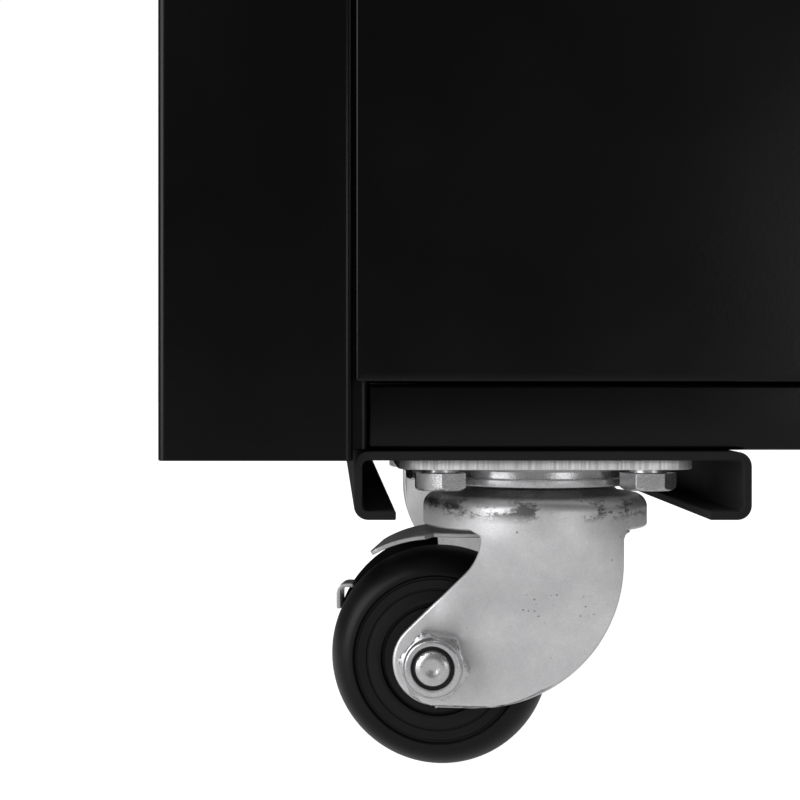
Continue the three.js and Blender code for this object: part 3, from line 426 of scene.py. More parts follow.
def rimmed(profile, low, high, corner, axis="z", steps=8):
    """A closed tray or plate: each (inset, height) of the profile is a loop round a rounded
    rectangle drawn in by the inset. The first and the last loop are closed by flat faces."""
    low, high = np.asarray(low, float), np.asarray(high, float)
    first, second, along = AXES[axis]
    quarter = np.linspace(0, math.pi / 2, steps + 1)
    angles = (quarter[None] + np.arange(4)[:, None] * math.pi / 2).ravel()
    sign_a = np.repeat([1, -1, -1, 1], steps + 1)
    sign_b = np.repeat([1, 1, -1, -1], steps + 1)
    middle, half = (low + high) / 2, (high - low) / 2
    profile = np.asarray(profile, float)
    inset, height = profile[:, :1], profile[:, 1:]
    radius = np.maximum(corner - inset, 0.0)
    points = np.zeros((len(profile), len(angles), 3))
    points[..., first] = middle[0] + sign_a * (half[0] - inset - radius) + radius * np.cos(angles)
    points[..., second] = middle[1] + sign_b * (half[1] - inset - radius) + radius * np.sin(angles)
    points[..., along] = height
    count = len(angles)
    faces = [list(face) for face in quads(len(profile), count, wrap_columns=True)]
    faces += [list(range(count)), list(range((len(profile) - 1) * count, len(profile) * count))]
    return points.reshape(-1, 3), faces


def arc(centre, radius, start, end, steps=6):
    """Points round a circle from one angle in degrees to another."""
    angles = np.radians(np.linspace(start, end, steps + 1))
    return np.asarray(centre) + radius * np.stack([np.cos(angles), np.sin(angles)], -1)


def eased(value, low, high):
    """0 below `low`, 1 above `high`, and a smooth cubic step between them."""
    share = np.clip((value - low) / (high - low), 0, 1)
    return share * share * (3 - 2 * share)


def placed(shape, x, y, z=0.0, turn=0.0):
    """A shape turned about Z by degrees and moved."""
    points, faces = shape
    cos, sin = math.cos(math.radians(turn)), math.sin(math.radians(turn))
    spin = np.array([[cos, -sin, 0], [sin, cos, 0], [0, 0, 1]])
    return np.asarray(points) @ spin.T + [x, y, z], faces


def flipped(shape):
    """A shape's twin on the other side of the chest's middle."""
    points, faces = shape
    return np.asarray(points) * [-1, 1, 1] + [WIDTH, 0, 0], faces


# ---- Body sheets --------------------------------------------------------------------------

SHEET = span("back_panel")[1][1] - span("back_panel")[0][1]
RAIL_GAP = 0.3
POST = span("top_rail")[0][0] - RAIL_GAP
INNER_WALL = span("side_panel_left")[1][0]
BODY_FOOT = span("side_panel_left")[0][2]
BODY_TOP = span("side_panel_left")[1][2]
SIDE_BACK = span("side_panel_left")[1][1]
PAN_FOOT = span("bottom_pan")[0][2]
STOP = span("base_rail")[0][1]
FRONT_RETURN = 40.0
REAR_RETURN = 62.0
BEND = 2.4


def side_shapes():
    """The wrap of side and posts, and the flanges behind the drawers' edges that end above the
    caster channel."""
    wrap = [(POST, STOP + SHEET), (POST, 0), (0, 0), (0, SIDE_BACK), (POST, SIDE_BACK)]
    front = [(INNER_WALL, FRONT_RETURN), (INNER_WALL, STOP), (POST - SHEET, STOP)]
    rear = [(POST, SIDE_BACK), (INNER_WALL, SIDE_BACK), (INNER_WALL, SIDE_BACK - REAR_RETURN)]
    return [
        extruded(folded(wrap, SHEET, BEND), "z", BODY_FOOT, BODY_TOP),
        extruded(folded(front, SHEET, BEND), "z", PAN_FOOT, BODY_TOP),
        extruded(folded(rear, SHEET, BEND), "z", PAN_FOOT, BODY_TOP),
    ]


for side, twin in (("left", lambda shape: shape), ("right", flipped)):
    wrap, front_flange, rear_flange = map(twin, side_shapes())
    make(f"side_wrap_{side}", wrap, ENAMEL, "cabinet", [f"side_panel_{side}"], bevel=0.4)
    make(f"front_flange_{side}", front_flange, ENAMEL, "cabinet", [f"side_panel_{side}"], bevel=0.3)
    make(f"rear_flange_{side}", rear_flange, ENAMEL, "cabinet", [f"side_panel_{side}"], bevel=0.3)


def sheet_rail(node, face, flange, bend):
    """A U of folded sheet along x, open to the back."""
    low, high = span(node)
    path = [(face + flange, low[2]), (face, low[2]), (face, high[2]), (face + flange, high[2])]
    return extruded(folded(path, SHEET, bend), "x", low[0], high[0])


RAIL_FLANGE = 15.0
RAIL_BEND = 1.4
base_sheet = sheet_rail("base_rail", STOP, RAIL_FLANGE, RAIL_BEND)
make("base_rail_sheet", base_sheet, ENAMEL, "cabinet", ["base_rail"], bevel=0.2)


def channel_shape():
    """The rolled channel that the casters bolt up into, open below between its lips."""
    low, high = span("caster_channel_left")
    lip, wall, bend = 13.2, 2.7, 4.5
    path = [
        (low[0] + lip, low[2]), (low[0], low[2]), (low[0], high[2]),
        (high[0], high[2]), (high[0], low[2]), (high[0] - lip, low[2]),
    ]
    return extruded(folded(path, wall, bend), "y", low[1], high[1])


for side, shape in (("left", channel_shape()), ("right", flipped(channel_shape()))):
    nodes = [f"caster_channel_{side}"]
    make(f"channel_{side}", shape, MATT_BLACK, "cabinet", nodes, bevel=0.5)


def back_shape():
    """The flat back sheet with softened edges."""
    low, high = span("back_panel")
    front, back = low[1], high[1]
    soft, flat, corner = 0.3, 1.0, 2.0
    profile = [
        (flat, front), (soft, front), (0, front + soft),
        (0, back - soft), (soft, back), (flat, back),
    ]
    return rimmed(profile, (low[0], low[2]), (high[0], high[2]), corner, axis="y")


make("back_sheet", back_shape(), ENAMEL, "cabinet", ["back_panel"])


def top_shape():
    """The top cap: a skirt rolled over into a rim, which steps down to the deck under the mat."""
    low, high = span("top_panel")
    top, foot = high[2], low[2]
    rim, recess, roll = 12.0, 5.0, 3.0
    outer = [
        (rim + 2, top - recess), (rim + 0.8, top - recess),
        *arc((rim + 0.8, top - recess + 0.8), 0.8, 270, 180, 3),
        *arc((rim - 1.5, top - 1.5), 1.5, 0, 90, 5),
        *arc((roll, top - roll), roll, 90, 180, 7),
        (0, foot + 0.4), (0.3, foot), (SHEET - 0.3, foot), (SHEET, foot + 0.4),
        *arc((roll, top - roll), roll - SHEET, 180, 90, 5),
        (rim - SHEET, top - SHEET), (rim - SHEET, top - recess - SHEET),
        (rim + 2, top - recess - SHEET),
    ]
    corner = 5.0
    return rimmed(outer, low[:2], high[:2], corner)


make("top_cap", top_shape(), ENAMEL, "cabinet", ["top_panel"])


def mat_shape():
    """The mat: its section has low ribs 8 mm apart, each a rectified sine raised to 0.6 so that
    it is nearly a half round, and it is carried along x."""
    low, high = span("top_mat")
    pitch, rib, margin = 8.0, 0.7, 6
    y = np.arange(low[1] + margin, high[1] - margin, pitch / 12)
    z = high[2] - rib + rib * np.abs(np.sin(math.pi * (y - low[1] - margin) / pitch)) ** 0.6
    edge = [(low[1], low[2]), (low[1], high[2] - rib)]
    far = [(high[1], high[2] - rib), (high[1], low[2])]
    return extruded(np.array([*edge, *np.stack([y, z], -1), *far]), "x", low[0], high[0])


make("ribbed_mat", mat_shape(), MAT, "cabinet", ["top_mat"])

# ---- Drawers ------------------------------------------------------------------------------


def front_shape(node):
    """A drawer front: a shallow pan of sheet with its edges folded back on small rolls."""
    low, high = span(node)
    face, back, roll, wall = low[1], high[1], 0.8, 1.0
    profile = [
        (14, face), (roll + 2, face),
        *arc((roll, face + roll), roll, 270, 180, 6),
        (0, back - 0.3), (0.3, back), (wall - 0.3, back), (wall, back - 0.3),
        (wall, face + wall + 0.3), (wall + 0.3, face + wall), (14, face + wall),
    ]
    return rimmed(profile, (low[0], low[2]), (high[0], high[2]), 0.9, axis="y", steps=5)


def tray_shape(node):
    """A drawer box: an open tray of sheet with a rolled hem along its top edge."""
    low, high = span(node)
    wall, hem = 1.0, 2.2
    top, foot = high[2], low[2]
    profile = [
        (8, foot + wall), (3.0, foot + wall),
        *arc((wall + 2.0, foot + wall + 2.0), 2.0, 270, 180, 4),
        (wall, top - 9), (hem, top - 8.6), (hem, top - hem / 2),
        *arc((hem / 2, top - hem / 2), hem / 2, 0, 180, 6),
        (0, foot + 3), *arc((3.0, foot + 3.0), 3.0, 180, 270, 4), (8, foot),
    ]
    return rimmed(profile, low[:2], high[:2], 3.5, steps=5)


def pull_shape(node):
    """A pull: a rounded lip over a flat back leaf, one section carried along x."""
    low, high = span(node)
    front, top, wall, lip = low[1], high[2], 1.8, 8.0
    corners = [
        (0, top), (front, top), (front, top - lip), (front + wall, top - lip),
        (front + wall, top - wall), (-wall, top - wall), (-wall, low[2]), (0, low[2]),
    ]
    radii = [0.6, 3.2, 0.85, 0.85, 1.6, 1.6, 0.7, 0.3]
    return extruded(rounded(corners, radii), "x", low[0], high[0])


for number in range(1, 5):
    body = f"drawer_{number}"
    make(f"{body}_face", front_shape(f"{body}_front"), ENAMEL, body, [f"{body}_front"])
    make(f"{body}_tray", tray_shape(f"{body}_box"), ENAMEL, body, [f"{body}_box"])
    make(f"{body}_grip", pull_shape(f"{body}_pull"), ALUMINIUM, body, [f"{body}_pull"], bevel=0.3)

# ---- Casters ------------------------------------------------------------------------------
# In a caster's own frame the origin is on the floor under its plate, a swivel caster's wheel
# trails towards -x, and the axle lies along y.

WHEEL_LOW, WHEEL_HIGH = span("caster_front_right_wheel")
WHEEL_R = (WHEEL_HIGH[2] - WHEEL_LOW[2]) / 2
WHEEL_HALF = 15.0
AXLE_Z = WHEEL_R
AXLE_R = 6.0
TRAIL = 32.2
PLATE_GAP = 0.3
PLATE_TOP = BODY_FOOT - PLATE_GAP
PLATE_FOOT = PLATE_TOP - 3.4
PLATE_WIDTH = 95.5
PLATE_DEPTH = 75.0
BOLT_SPACE_X = 67.6
BOLT_SPACE_Y = 54.0
BOLT_FLATS = 16.0
BOLT_HEAD = 5.6
BOLT_END = 109.7
CROWN_R = 37.8
CROWN_FOOT = 2 * WHEEL_R + 7.7
CROWN_TOP = CROWN_FOOT + 10.9
RACE_RISE = 2.4
FORK_SHEET = 3.0
FORK_FLAT = 20.0
LEG_END = 14.4
LEG_FOOT = AXLE_Z - 15.0
LEG_FRONT = 30.0
LEG_FRONT_TOP = CROWN_FOOT - 10.0
LEG_ROOT = 16.8
LEG_ROOT_R = 19.5
NUT_FLATS = 20.6
NUT_SEAT = FORK_FLAT + 0.3
NUT_TOP = NUT_SEAT + 9.0
BRAKE_SHEET = 1.6
BRAKE_GAP = 4.0
GUARD_END = 31.0
ARM_FACE = 22.5

FORK_ZINC = fork_zinc_scuffs_and_reflections()


def hex_radius(angles, across_flats, turn):
    """The radius of a hexagon at each angle: half its flats over the cosine of the angle from
    the nearest flat's middle."""
    from_flat = np.mod(angles - math.radians(turn), math.pi / 3) - math.pi / 6
    return across_flats / 2 / np.cos(from_flat)


def hexagon(across_flats, foot, top, turn, axis="z", bore=0.0, both=False):
    """A hexagon prism with its outer corners turned off: its radius is the smaller of the
    hexagon's and a 30 degree cone's that meets the top at 0.95 of the flats."""
    angles = np.linspace(0, 2 * math.pi, 144, endpoint=False)
    rise = abs(top - foot)
    rows = np.concatenate([[0], np.linspace(0.02, 0.3, 6), [0.5], np.linspace(0.7, 0.98, 6), [1]])
    plain = hex_radius(angles, across_flats, turn)[None]
    cone_top = across_flats * 0.475 + (1 - rows[:, None]) * rise * math.sqrt(3)
    cone_foot = across_flats * 0.475 + rows[:, None] * rise * math.sqrt(3)
    radius = np.minimum(plain, np.minimum(cone_top, cone_foot) if both else cone_top)
    height = foot + rows * (top - foot)
    points = np.zeros((len(rows) + 2, len(angles), 3))
    first, second, along = AXES[axis]
    hole = np.full_like(plain, bore)
    ring = np.concatenate([hole, radius, hole])
    points[..., first] = ring * np.cos(angles)
    points[..., second] = ring * np.sin(angles)
    points[..., along] = np.concatenate([[foot], height, [top]])[:, None]
    wrap = bore > 0
    return points.reshape(-1, 3), quads(len(rows) + 2, len(angles), wrap_rows=wrap, wrap_columns=True)


def wheel_shape():
    """The wheel: a convex tyre band, a face with two fine grooves, a raised bearing ring with a
    deep gap inside it, and a hub boss, one section turned about the axle."""
    half = WHEEL_HALF
    face = half - 0.9
    boss = [(6.3, 16.5), (10.6, 16.5), (11.0, 16.1), (11.4, face - 0.6)]
    gap = [(17.6, face - 0.6), (17.8, face - 2.4), (18.8, face - 2.4), (18.9, face + 0.1)]
    ring = [(19.3, face + 0.3), (20.2, face + 0.3), (23.2, face - 0.1)]
    inner_groove = [(23.4, face - 0.5), (23.8, face - 0.5), (24.0, face - 0.1)]
    outer_groove = [(26.9, face + 0.1), (27.2, face - 0.4), (27.7, face - 0.4)]
    shoulder = [(28.0, half - 0.5), (28.5, half - 0.05)]
    # The tread is a half ellipse from face to face, its ends eased.
    tread_round = 8.7
    sweep = np.radians(np.linspace(84, 4, 22))
    tread = np.stack([WHEEL_R - tread_round * (1 - np.cos(sweep)), half * np.sin(sweep)], -1)
    side = np.concatenate([boss, gap, ring, inner_groove, outer_groove, shoulder, tread])
    other = side[::-1] * [1, -1]
    return turned(np.concatenate([side, other]), 112, axis="y")


def leg_edges(z):
    """The front and rear reach of a fork leg at each height: a round front edge of one radius
    down to the foot, and a rear edge that is a quarter turn about the axle, a 45 degree line
    and a round root; both flare out in a small fillet where they meet the crown."""
    radius = LEG_FRONT_TOP - LEG_FOOT
    below = LEG_FRONT_TOP - np.minimum(z, LEG_FRONT_TOP)
    front = LEG_FRONT - radius + np.sqrt(np.maximum(radius ** 2 - below ** 2, 0))
    slope = TRAIL + AXLE_Z + LEG_END * math.sqrt(2)
    root_x = LEG_ROOT + LEG_ROOT_R
    root_z = slope + LEG_ROOT_R * math.sqrt(2) - root_x
    drop = np.minimum(np.abs(z - AXLE_Z), LEG_END)
    rear_end = TRAIL + np.sqrt(LEG_END ** 2 - drop ** 2)
    dip = np.clip(root_z - z, 0, LEG_ROOT_R - 0.1)
    rear_root = root_x - np.sqrt(LEG_ROOT_R ** 2 - dip ** 2)
    rear = np.where(
        z < AXLE_Z + LEG_END / math.sqrt(2), rear_end,
        np.where(z < root_z - LEG_ROOT_R / math.sqrt(2), slope - z, rear_root),
    )
    fillet = 3.0
    up = np.clip((z - (CROWN_FOOT - fillet)) / fillet, 0, 1)
    flare = fillet * (1 - np.sqrt(1 - up ** 2 * 0.999))
    return front + flare, rear + flare


def leg_face(x, z):
    """A leg's outer face: the crown's circle at the top, easing over 38 mm of height to a flat
    plate beside the wheel."""
    share = eased(z, CROWN_FOOT - 38, CROWN_FOOT)
    circle = np.sqrt(np.maximum(CROWN_R ** 2 - x ** 2, FORK_FLAT ** 2))
    return FORK_FLAT + (circle - FORK_FLAT) * share


def fork_shape():
    """The pressed fork's outer skin: a crown turned about the kingpin, whose skirt runs on down
    into two legs over the stretch that each leg covers."""
    rise, shoulder = RACE_RISE, 4.5
    crown = np.array([
        (6.3, CROWN_TOP + rise), (25.5, CROWN_TOP + rise), (26.8, CROWN_TOP + rise - 0.3),
        (28.6, CROWN_TOP + 0.4), (30.0, CROWN_TOP),
        *arc((CROWN_R - shoulder, CROWN_TOP - shoulder), shoulder, 90, 0, 9),
        (CROWN_R, CROWN_FOOT + 3), (CROWN_R, CROWN_FOOT),
    ])
    columns, rows = 30, 44
    front, rear = leg_edges(np.array([CROWN_FOOT]))
    x = np.linspace(front[0], -rear[0], columns)
    leg_angles = np.arccos(x / CROWN_R)
    back_gap = np.linspace(leg_angles[-1], 2 * math.pi - leg_angles[-1], 34)[1:-1]
    front_gap = np.linspace(-leg_angles[0], leg_angles[0], 22)[1:-1] + 2 * math.pi
    angles = np.concatenate([leg_angles, back_gap, 2 * math.pi - leg_angles[::-1], front_gap])
    ring = np.stack([np.cos(angles), np.sin(angles)], -1)
    points = np.zeros((len(crown), len(angles), 3))
    points[..., :2] = crown[:, None, :1] * ring
    points[..., 2] = crown[:, 1:]
    parts = [(points.reshape(-1, 3), quads(len(crown), len(angles), wrap_columns=True))]
    # The rows crowd towards the foot, where the leg's edges curve most.
    down = np.linspace(0, 1, rows)
    crowded = 0.35 * down + 0.65 * np.sin(down * math.pi / 2) ** 1.2
    z = CROWN_FOOT - (CROWN_FOOT - LEG_FOOT) * crowded
    front, rear = leg_edges(z)
    across = np.linspace(0, 1, columns)[None]
    leg_x = front[:, None] + (-rear - front)[:, None] * across
    leg_y = leg_face(leg_x, z[:, None])
    leg_z = np.broadcast_to(z[:, None], leg_x.shape)
    for sense in (1, -1):
        leg = np.stack([leg_x, sense * leg_y, leg_z], -1)
        parts.append((leg.reshape(-1, 3), quads(rows, columns)))
    return merged(*parts)


# Each mounting bolt's side in x and in y, and how far its head is turned.
BOLTS = [(-1, -1, 30.0), (1, -1, 56.0), (-1, 1, 42.0), (1, 1, 10.0)]


def plate_shape():
    """The mounting plate: a rounded rectangle with soft edges."""
    edge, corner = 0.5, 9.0
    profile = [
        (6, PLATE_FOOT), (edge, PLATE_FOOT), *arc((edge, PLATE_FOOT + edge), edge, 270, 180, 2),
        *arc((edge, PLATE_TOP - edge), edge, 180, 90, 2), (6, PLATE_TOP),
    ]
    half = np.array([PLATE_WIDTH, PLATE_DEPTH]) / 2
    return rimmed(profile, -half, half, corner)


def bolts_shape():
    """Four hexagon bolt heads with round collars under the plate, and their shanks above it."""
    head_top = PLATE_FOOT - 1.4
    lap, soft = 0.1, 0.3
    collar = [
        (0, head_top - lap), (6.0, head_top - lap), (6.2, head_top + 0.2),
        (6.2, PLATE_FOOT), (0, PLATE_FOOT),
    ]
    shank = [
        (0, PLATE_TOP - lap), (4.0, PLATE_TOP - lap), (4.0, BOLT_END - soft),
        (3.6, BOLT_END), (0, BOLT_END),
    ]
    parts = []
    for side, end, turn in BOLTS:
        x, y = side * BOLT_SPACE_X / 2, end * BOLT_SPACE_Y / 2
        head = hexagon(BOLT_FLATS, head_top, head_top - BOLT_HEAD, turn)
        parts += [placed(piece, x, y) for piece in (head, turned(collar, 40), turned(shank, 24))]
    return merged(*parts)


def raceway_shape():
    """The pressed cup and dust ring of the ball race, the kingpin and its head."""
    ring_foot = PLATE_FOOT - 6.3
    waist = PLATE_FOOT - 3.4
    head_top = CROWN_TOP + RACE_RISE - FORK_SHEET - 0.3
    profile = [
        (0, head_top - 2.6), (9.6, head_top - 2.6), (11.0, head_top - 1.6), (11.0, head_top),
        (6.0, head_top), (6.0, ring_foot + 1.2),
        (31.4, ring_foot + 1.2), (31.7, ring_foot + 0.1), (32.3, ring_foot),
        (32.9, ring_foot + 0.3), (33.0, ring_foot + 0.8), (33.0, waist - 0.5), (32.6, waist),
        (31.6, waist + 0.1), (31.5, PLATE_FOOT - 1.2), (32.3, PLATE_FOOT), (0, PLATE_FOOT),
    ]
    return turned(profile, 96)


def axle_shape():
    """The axle bolt along y: a domed, chamfered end in front and a hexagon head behind."""
    seat, end, head, turn = NUT_SEAT, 33.0, 7.5, 20.0
    dimple = [(0, -end + 0.35), (1.6, -end + 0.3), (2.1, -end + 0.05), (3.2, -end)]
    dome = [(4.6, -end + 0.15), (5.5, -end + 0.7), (5.9, -end + 1.5), (AXLE_R, -end + 2.2)]
    shaft = turned([*dimple, *dome, (AXLE_R, seat), (0, seat)], 56, axis="y")
    return merged(shaft, hexagon(NUT_FLATS, seat, seat + head, turn, axis="y"))


def nut_shape():
    """The lock nut: a chamfered hexagon with a rolled round collar that grips the nylon ring."""
    top, turn, bore = NUT_TOP, -10.0, 6.35
    collar = [
        (6.4, -top + 0.3), (9.9, -top + 0.3), (9.7, -top - 0.6), (9.6, -top - 1.4),
        *arc((8.4, -top - 1.6), 1.1, 0, -90, 5), (7.4, -top - 2.6), (7.1, -top - 2.2),
        (7.1, -top - 0.4), (6.4, -top - 0.4),
    ]
    body = hexagon(NUT_FLATS, -NUT_SEAT, -top, turn, axis="y", bore=bore, both=True)
    return merged(body, turned(collar, 64, axis="y"))


def nylon_shape():
    """The nylon ring inside the nut's collar."""
    foot = -NUT_TOP - 0.3
    profile = [
        (6.05, foot), (7.05, foot), (7.05, foot - 1.6), (6.6, foot - 1.9), (6.05, foot - 1.7),
    ]
    return turned(profile, 56, axis="y")


def guard_shape():
    """The brake's pressed sheet: a tongue level from the pin, then a guard bent over the tyre at
    one radius. Each row across runs between two edges that widen at the guard and close in a
    round end."""
    inner = WHEEL_R + BRAKE_GAP + BRAKE_SHEET
    pin_x = 14.0
    flat_run = TRAIL - pin_x
    bent = math.radians(GUARD_END)
    tongue_half, guard_more, end_round = 15.0, 7.5, 4.0
    rows, columns = 72, 14
    path = np.linspace(0, 1, rows) * (flat_run + inner * bent)
    angle = np.maximum(path - flat_run, 0) / inner
    x = -np.where(path < flat_run, pin_x + path, TRAIL + inner * np.sin(angle))
    z = np.where(path < flat_run, AXLE_Z + inner, AXLE_Z + inner * np.cos(angle))
    degrees = np.degrees(angle)
    wide = tongue_half + guard_more * eased(path, flat_run + 1.0, flat_run + 3.5)
    tip = np.clip((degrees - GUARD_END + 4) / 4, 0, 1)
    half = wide - end_round * (1 - np.sqrt(1 - tip ** 2))
    y = half[:, None] * np.linspace(-1, 1, columns)
    grid = np.stack([np.tile(x[:, None], columns), y, np.tile(z[:, None], columns)], -1)
    return grid.reshape(-1, 3), quads(rows, columns)


def flange_shape():
    """The brake's side arm: an arc about the axle between an inner and an outer edge, the outer
    one sinking a little past the end of the guard."""
    lap, sink, depth = 0.8, 2.5, 11
    rows, columns = 60, 6
    degrees = np.linspace(4, 73, rows)
    angle = np.radians(degrees)[:, None]
    edge = WHEEL_R + 3.8
    outer = (edge + lap - sink * eased(degrees, GUARD_END - 4, GUARD_END + 2))[:, None]
    radius = edge - depth + (outer - edge + depth) * np.linspace(0, 1, columns)
    x = -TRAIL - radius * np.sin(angle)
    z = AXLE_Z + radius * np.cos(angle)
    grid = np.stack([x, np.full_like(x, ARM_FACE), z], -1)
    return grid.reshape(-1, 3), quads(rows, columns)


def tab_shape():
    """The foot tab: a sheet folded down over a round edge, its section carried across the arm."""
    out, top = TRAIL + 37.6, AXLE_Z + 22.1
    fall, run, bend = 9.2, 6.0, 3.5
    path = [(-out, top - fall), (-out, top), (-out + run, top)]
    return extruded(folded(path, BRAKE_SHEET, bend), "y", 12.0, 22.4)


def brake_pin_shape():
    """The pin that the pedal turns on, with chamfered ends."""
    half, radius, edge = 27.0, 3.0, 0.4
    end = [(radius, half - edge), (radius - edge, half), (0, half)]
    start = [(along, -across) for along, across in end[::-1]]
    points, faces = turned([*start, *end], 32, axis="y")
    return points + [-10.0, 0, CROWN_FOOT - 2.4], faces


def rigid_shape():
    """The rigid bracket's folded U: a web under the plate and two legs that narrow in straight
    lines to round ends about the axle."""
    shoulder, top, foot = 28.0, PLATE_FOOT - 0.2, PLATE_FOOT - FORK_SHEET
    drop = foot - AXLE_Z
    leaning = math.acos(LEG_END / math.hypot(shoulder, drop)) - math.atan2(drop, shoulder)
    tangent = 180 + math.degrees(leaning)
    outline = np.array([
        (-shoulder, top), (-shoulder, foot),
        *arc((0, AXLE_Z), LEG_END, tangent, 540 - tangent, 24),
        (shoulder, foot), (shoulder, top),
    ])
    web = np.array([(-shoulder, top), (shoulder, top), (shoulder, foot), (-shoulder, foot)])
    flat = FORK_FLAT - FORK_SHEET
    return [
        extruded(outline, "y", flat, FORK_FLAT),
        extruded(outline, "y", -FORK_FLAT, -flat),
        extruded(web, "y", -flat, flat),
    ]


def build_caster(place, turn):
    """One caster at its plate's or bracket's place. A swivel caster's running gear is turned by
    degrees about its kingpin; a rigid caster has no turn."""
    name = f"caster_{place}"
    swivels = turn is not None
    mount = [f"{name}_plate" if swivels else f"{name}_bracket"]
    low, high = span(mount[0])
    x, y = (low[0] + high[0]) / 2, (low[1] + high[1]) / 2

    def fixed(shape):
        """A shape set under the mounting plate's middle."""
        return placed(shape, x, y)

    def swung(shape):
        """A shape turned with the fork and set in place."""
        return placed(shape, x, y, 0.0, turn or 0.0)

    def on_axle(shape):
        """A shape moved out to the axle, turned with the fork and set in place."""
        points, faces = shape
        return swung((np.asarray(points) + [-TRAIL if swivels else 0.0, 0, AXLE_Z], faces))

    make(f"{name}_flange", fixed(plate_shape()), SHEARED, "cabinet", mount)
    make(f"{name}_bolts", fixed(bolts_shape()), BOLT_ZINC, "cabinet", mount)
    if swivels:
        gear, brake, pedal = f"{name}_swivel", f"{name}_brake", [f"{name}_brake_pedal"]
        sheet = {"solidify": FORK_SHEET, "bevel": 1.0, "clamp": False}
        guard_sheet = {"solidify": BRAKE_SHEET, "bevel": 0.5, "clamp": False}
        arm_sheet = {"solidify": BRAKE_SHEET, "bevel": 0.5}
        make(f"{name}_raceway", fixed(raceway_shape()), BOLT_ZINC, "cabinet", mount)
        make(f"{name}_pressing", swung(fork_shape()), FORK_ZINC, gear, [f"{name}_fork"], **sheet)
        make(f"{name}_guard", swung(guard_shape()), ZINC, brake, pedal, **guard_sheet)
        # The side arm's near-black finish is painted shade.
        make(f"{name}_side_arm", swung(flange_shape()), ARM_PAINTED_SHADE, brake, pedal, **arm_sheet)
        make(f"{name}_foot_tab", swung(tab_shape()), BOLT_ZINC, brake, pedal, bevel=0.4)
        make(f"{name}_brake_pin", swung(brake_pin_shape()), BOLT_ZINC, brake, pedal)
    else:
        gear = "cabinet"
        for side, leg in zip(("leg_back", "leg_front", "web"), rigid_shape()):
            make(f"{name}_{side}", fixed(leg), ZINC, gear, mount, bevel=0.6)
    bolt, nut = [f"{name}_axle_bolt"], [f"{name}_axle_nut"]
    make(f"{name}_tyre", on_axle(wheel_shape()), TYRE, f"{name}_roller", [f"{name}_wheel"])
    make(f"{name}_axle", on_axle(axle_shape()), BOLT_ZINC, gear, bolt)
    make(f"{name}_nut", on_axle(nut_shape()), BOLT_ZINC, gear, nut)
    make(f"{name}_nylon", on_axle(nylon_shape()), NYLON, gear, nut)


build_caster("front_left", -8.0)
build_caster("rear_left", 180.0)
build_caster("front_right", None)
build_caster("rear_right", None)

# ---- Carried-over CAD nodes ---------------------------------------------------------------


def finish_for(node):
    """The finish of a CAD node that shows as it is."""
    if "slide" in node:
        return SLIDE_STEEL
    if node in ("side_handle", "lock_barrel"):
        return CHROME
    return ENAMEL


for node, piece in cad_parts.items():
    piece.data.materials.clear()
    piece.data.materials.append(finish_for(node))

# ---- Studio -------------------------------------------------------------------------------


def camera():
    """A level camera low in front of the left corner, looking straight at the front."""
    data = bpy.data.cameras.new("camera")
    data.sensor_width = 36.0
    data.lens = 77.85
    data.shift_x = 0.085
    data.shift_y = -0.03875
    data.clip_end = 50.0
    eye = bpy.data.objects.new("camera", data)
    eye.location = to_row([54.2, -537.0, WHEEL_R + 97.6])
    eye.rotation_euler = (math.pi / 2, 0, 0)
    bpy.context.scene.collection.objects.link(eye)
    bpy.context.scene.camera = eye


def area_light(name, place, target, size, power):
    """A square soft light at a place in metres, facing a target."""
    data = bpy.data.lights.new(name, "AREA")
    data.shape = "SQUARE"
    data.size = size
    data.energy = power
    lamp = bpy.data.objects.new(name, data)
    bpy.context.scene.collection.objects.link(lamp)
    lamp.location = place
    lamp.rotation_euler = (Vector(target) - Vector(place)).to_track_quat("-Z", "Y").to_euler()


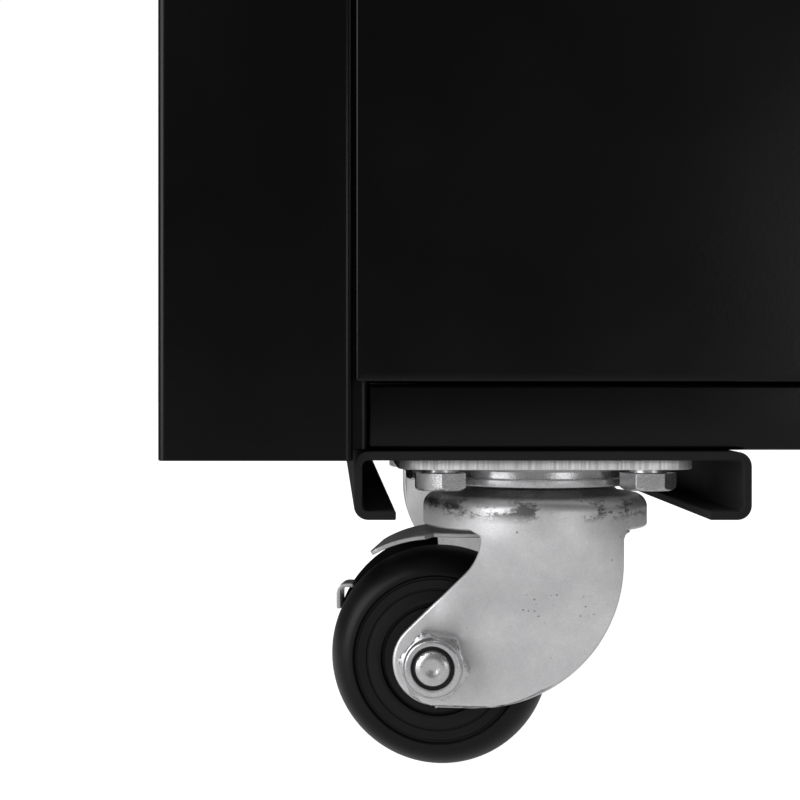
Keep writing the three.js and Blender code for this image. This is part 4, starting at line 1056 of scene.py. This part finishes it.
def studio():
    """A white room to the eye, dim in reflections, with soft boxes above and beside."""
    world = bpy.data.worlds.new("studio")
    bpy.context.scene.world = world
    world.use_nodes = True
    tree = world.node_tree
    background = tree.nodes["Background"]
    room = add(tree, "ShaderNodeBackground", Color=linear("#ffffff"), Strength=1.0)
    background.inputs["Color"].default_value = linear("#ffffff")
    background.inputs["Strength"].default_value = 0.12
    seen = add(tree, "ShaderNodeLightPath").outputs["Is Camera Ray"]
    shown = {"i0": seen, "i1": background.outputs[0], "i2": room.outputs[0]}
    blend = add(tree, "ShaderNodeMixShader", **shown)
    tree.links.new(blend.outputs[0], tree.nodes["World Output"].inputs["Surface"])
    area_light("top_box", (-0.5, -0.7, 2.4), (0, 0, 0.4), 1.6, 22.0)
    area_light("left_box", (-1.9, -1.2, 0.8), (-0.22, -0.17, 0.06), 1.7, 42.0)
    area_light("front_box", (0.9, -2.2, 0.16), (-0.1, -0.2, 0.12), 0.8, 6.0)
    area_light("right_box", (2.4, -0.6, 0.9), (0.1, 0, 0.4), 1.2, 6.0)


def floor():
    """A plain floor: white to the eye, and for the chest above it a glowing pool of painted light."""
    size = 6.0
    mesh = bpy.data.meshes.new("floor")
    corners = [(-size, -size, 0), (size, -size, 0), (size, size, 0), (-size, size, 0)]
    mesh.from_pydata(corners, [], [(0, 1, 2, 3)])
    ground = bpy.data.objects.new("floor", mesh)
    bpy.context.scene.collection.objects.link(ground)
    material, tree, shader, coords = start_finish("pale_floor", Roughness=0.9, Specular_IOR_Level=0.1)
    speck = add(tree, "ShaderNodeTexNoise", Vector=coords, Scale=3.0).outputs["Fac"]
    tree.links.new(ramp(tree, speck, [(0.3, "#a4a4a4"), (0.7, "#b0b0b0")]), shader.inputs["Base Color"])
    shader.inputs["Emission Color"].default_value = linear("#ffffff")
    # The floor glows as a painted pool of light, brightest round the casters, falling away 1.5 m out.
    near = (0.0, -0.5, 0.0)
    away = add(tree, "ShaderNodeVectorMath", {"operation": "DISTANCE"}, i0=coords, i1=near)
    painted_light_pool = level(tree, away.outputs["Value"], 0.5, 1.6, 0.5, 0.06)
    seen = add(tree, "ShaderNodeLightPath").outputs["Is Camera Ray"]
    bright = add(tree, "ShaderNodeMath", {"operation": "MAXIMUM"}, i0=painted_light_pool, i1=seen).outputs["Value"]
    tree.links.new(bright, shader.inputs["Emission Strength"])
    mesh.materials.append(material)


camera()
studio()
floor()
bpy.context.scene.view_settings.view_transform = "Standard"
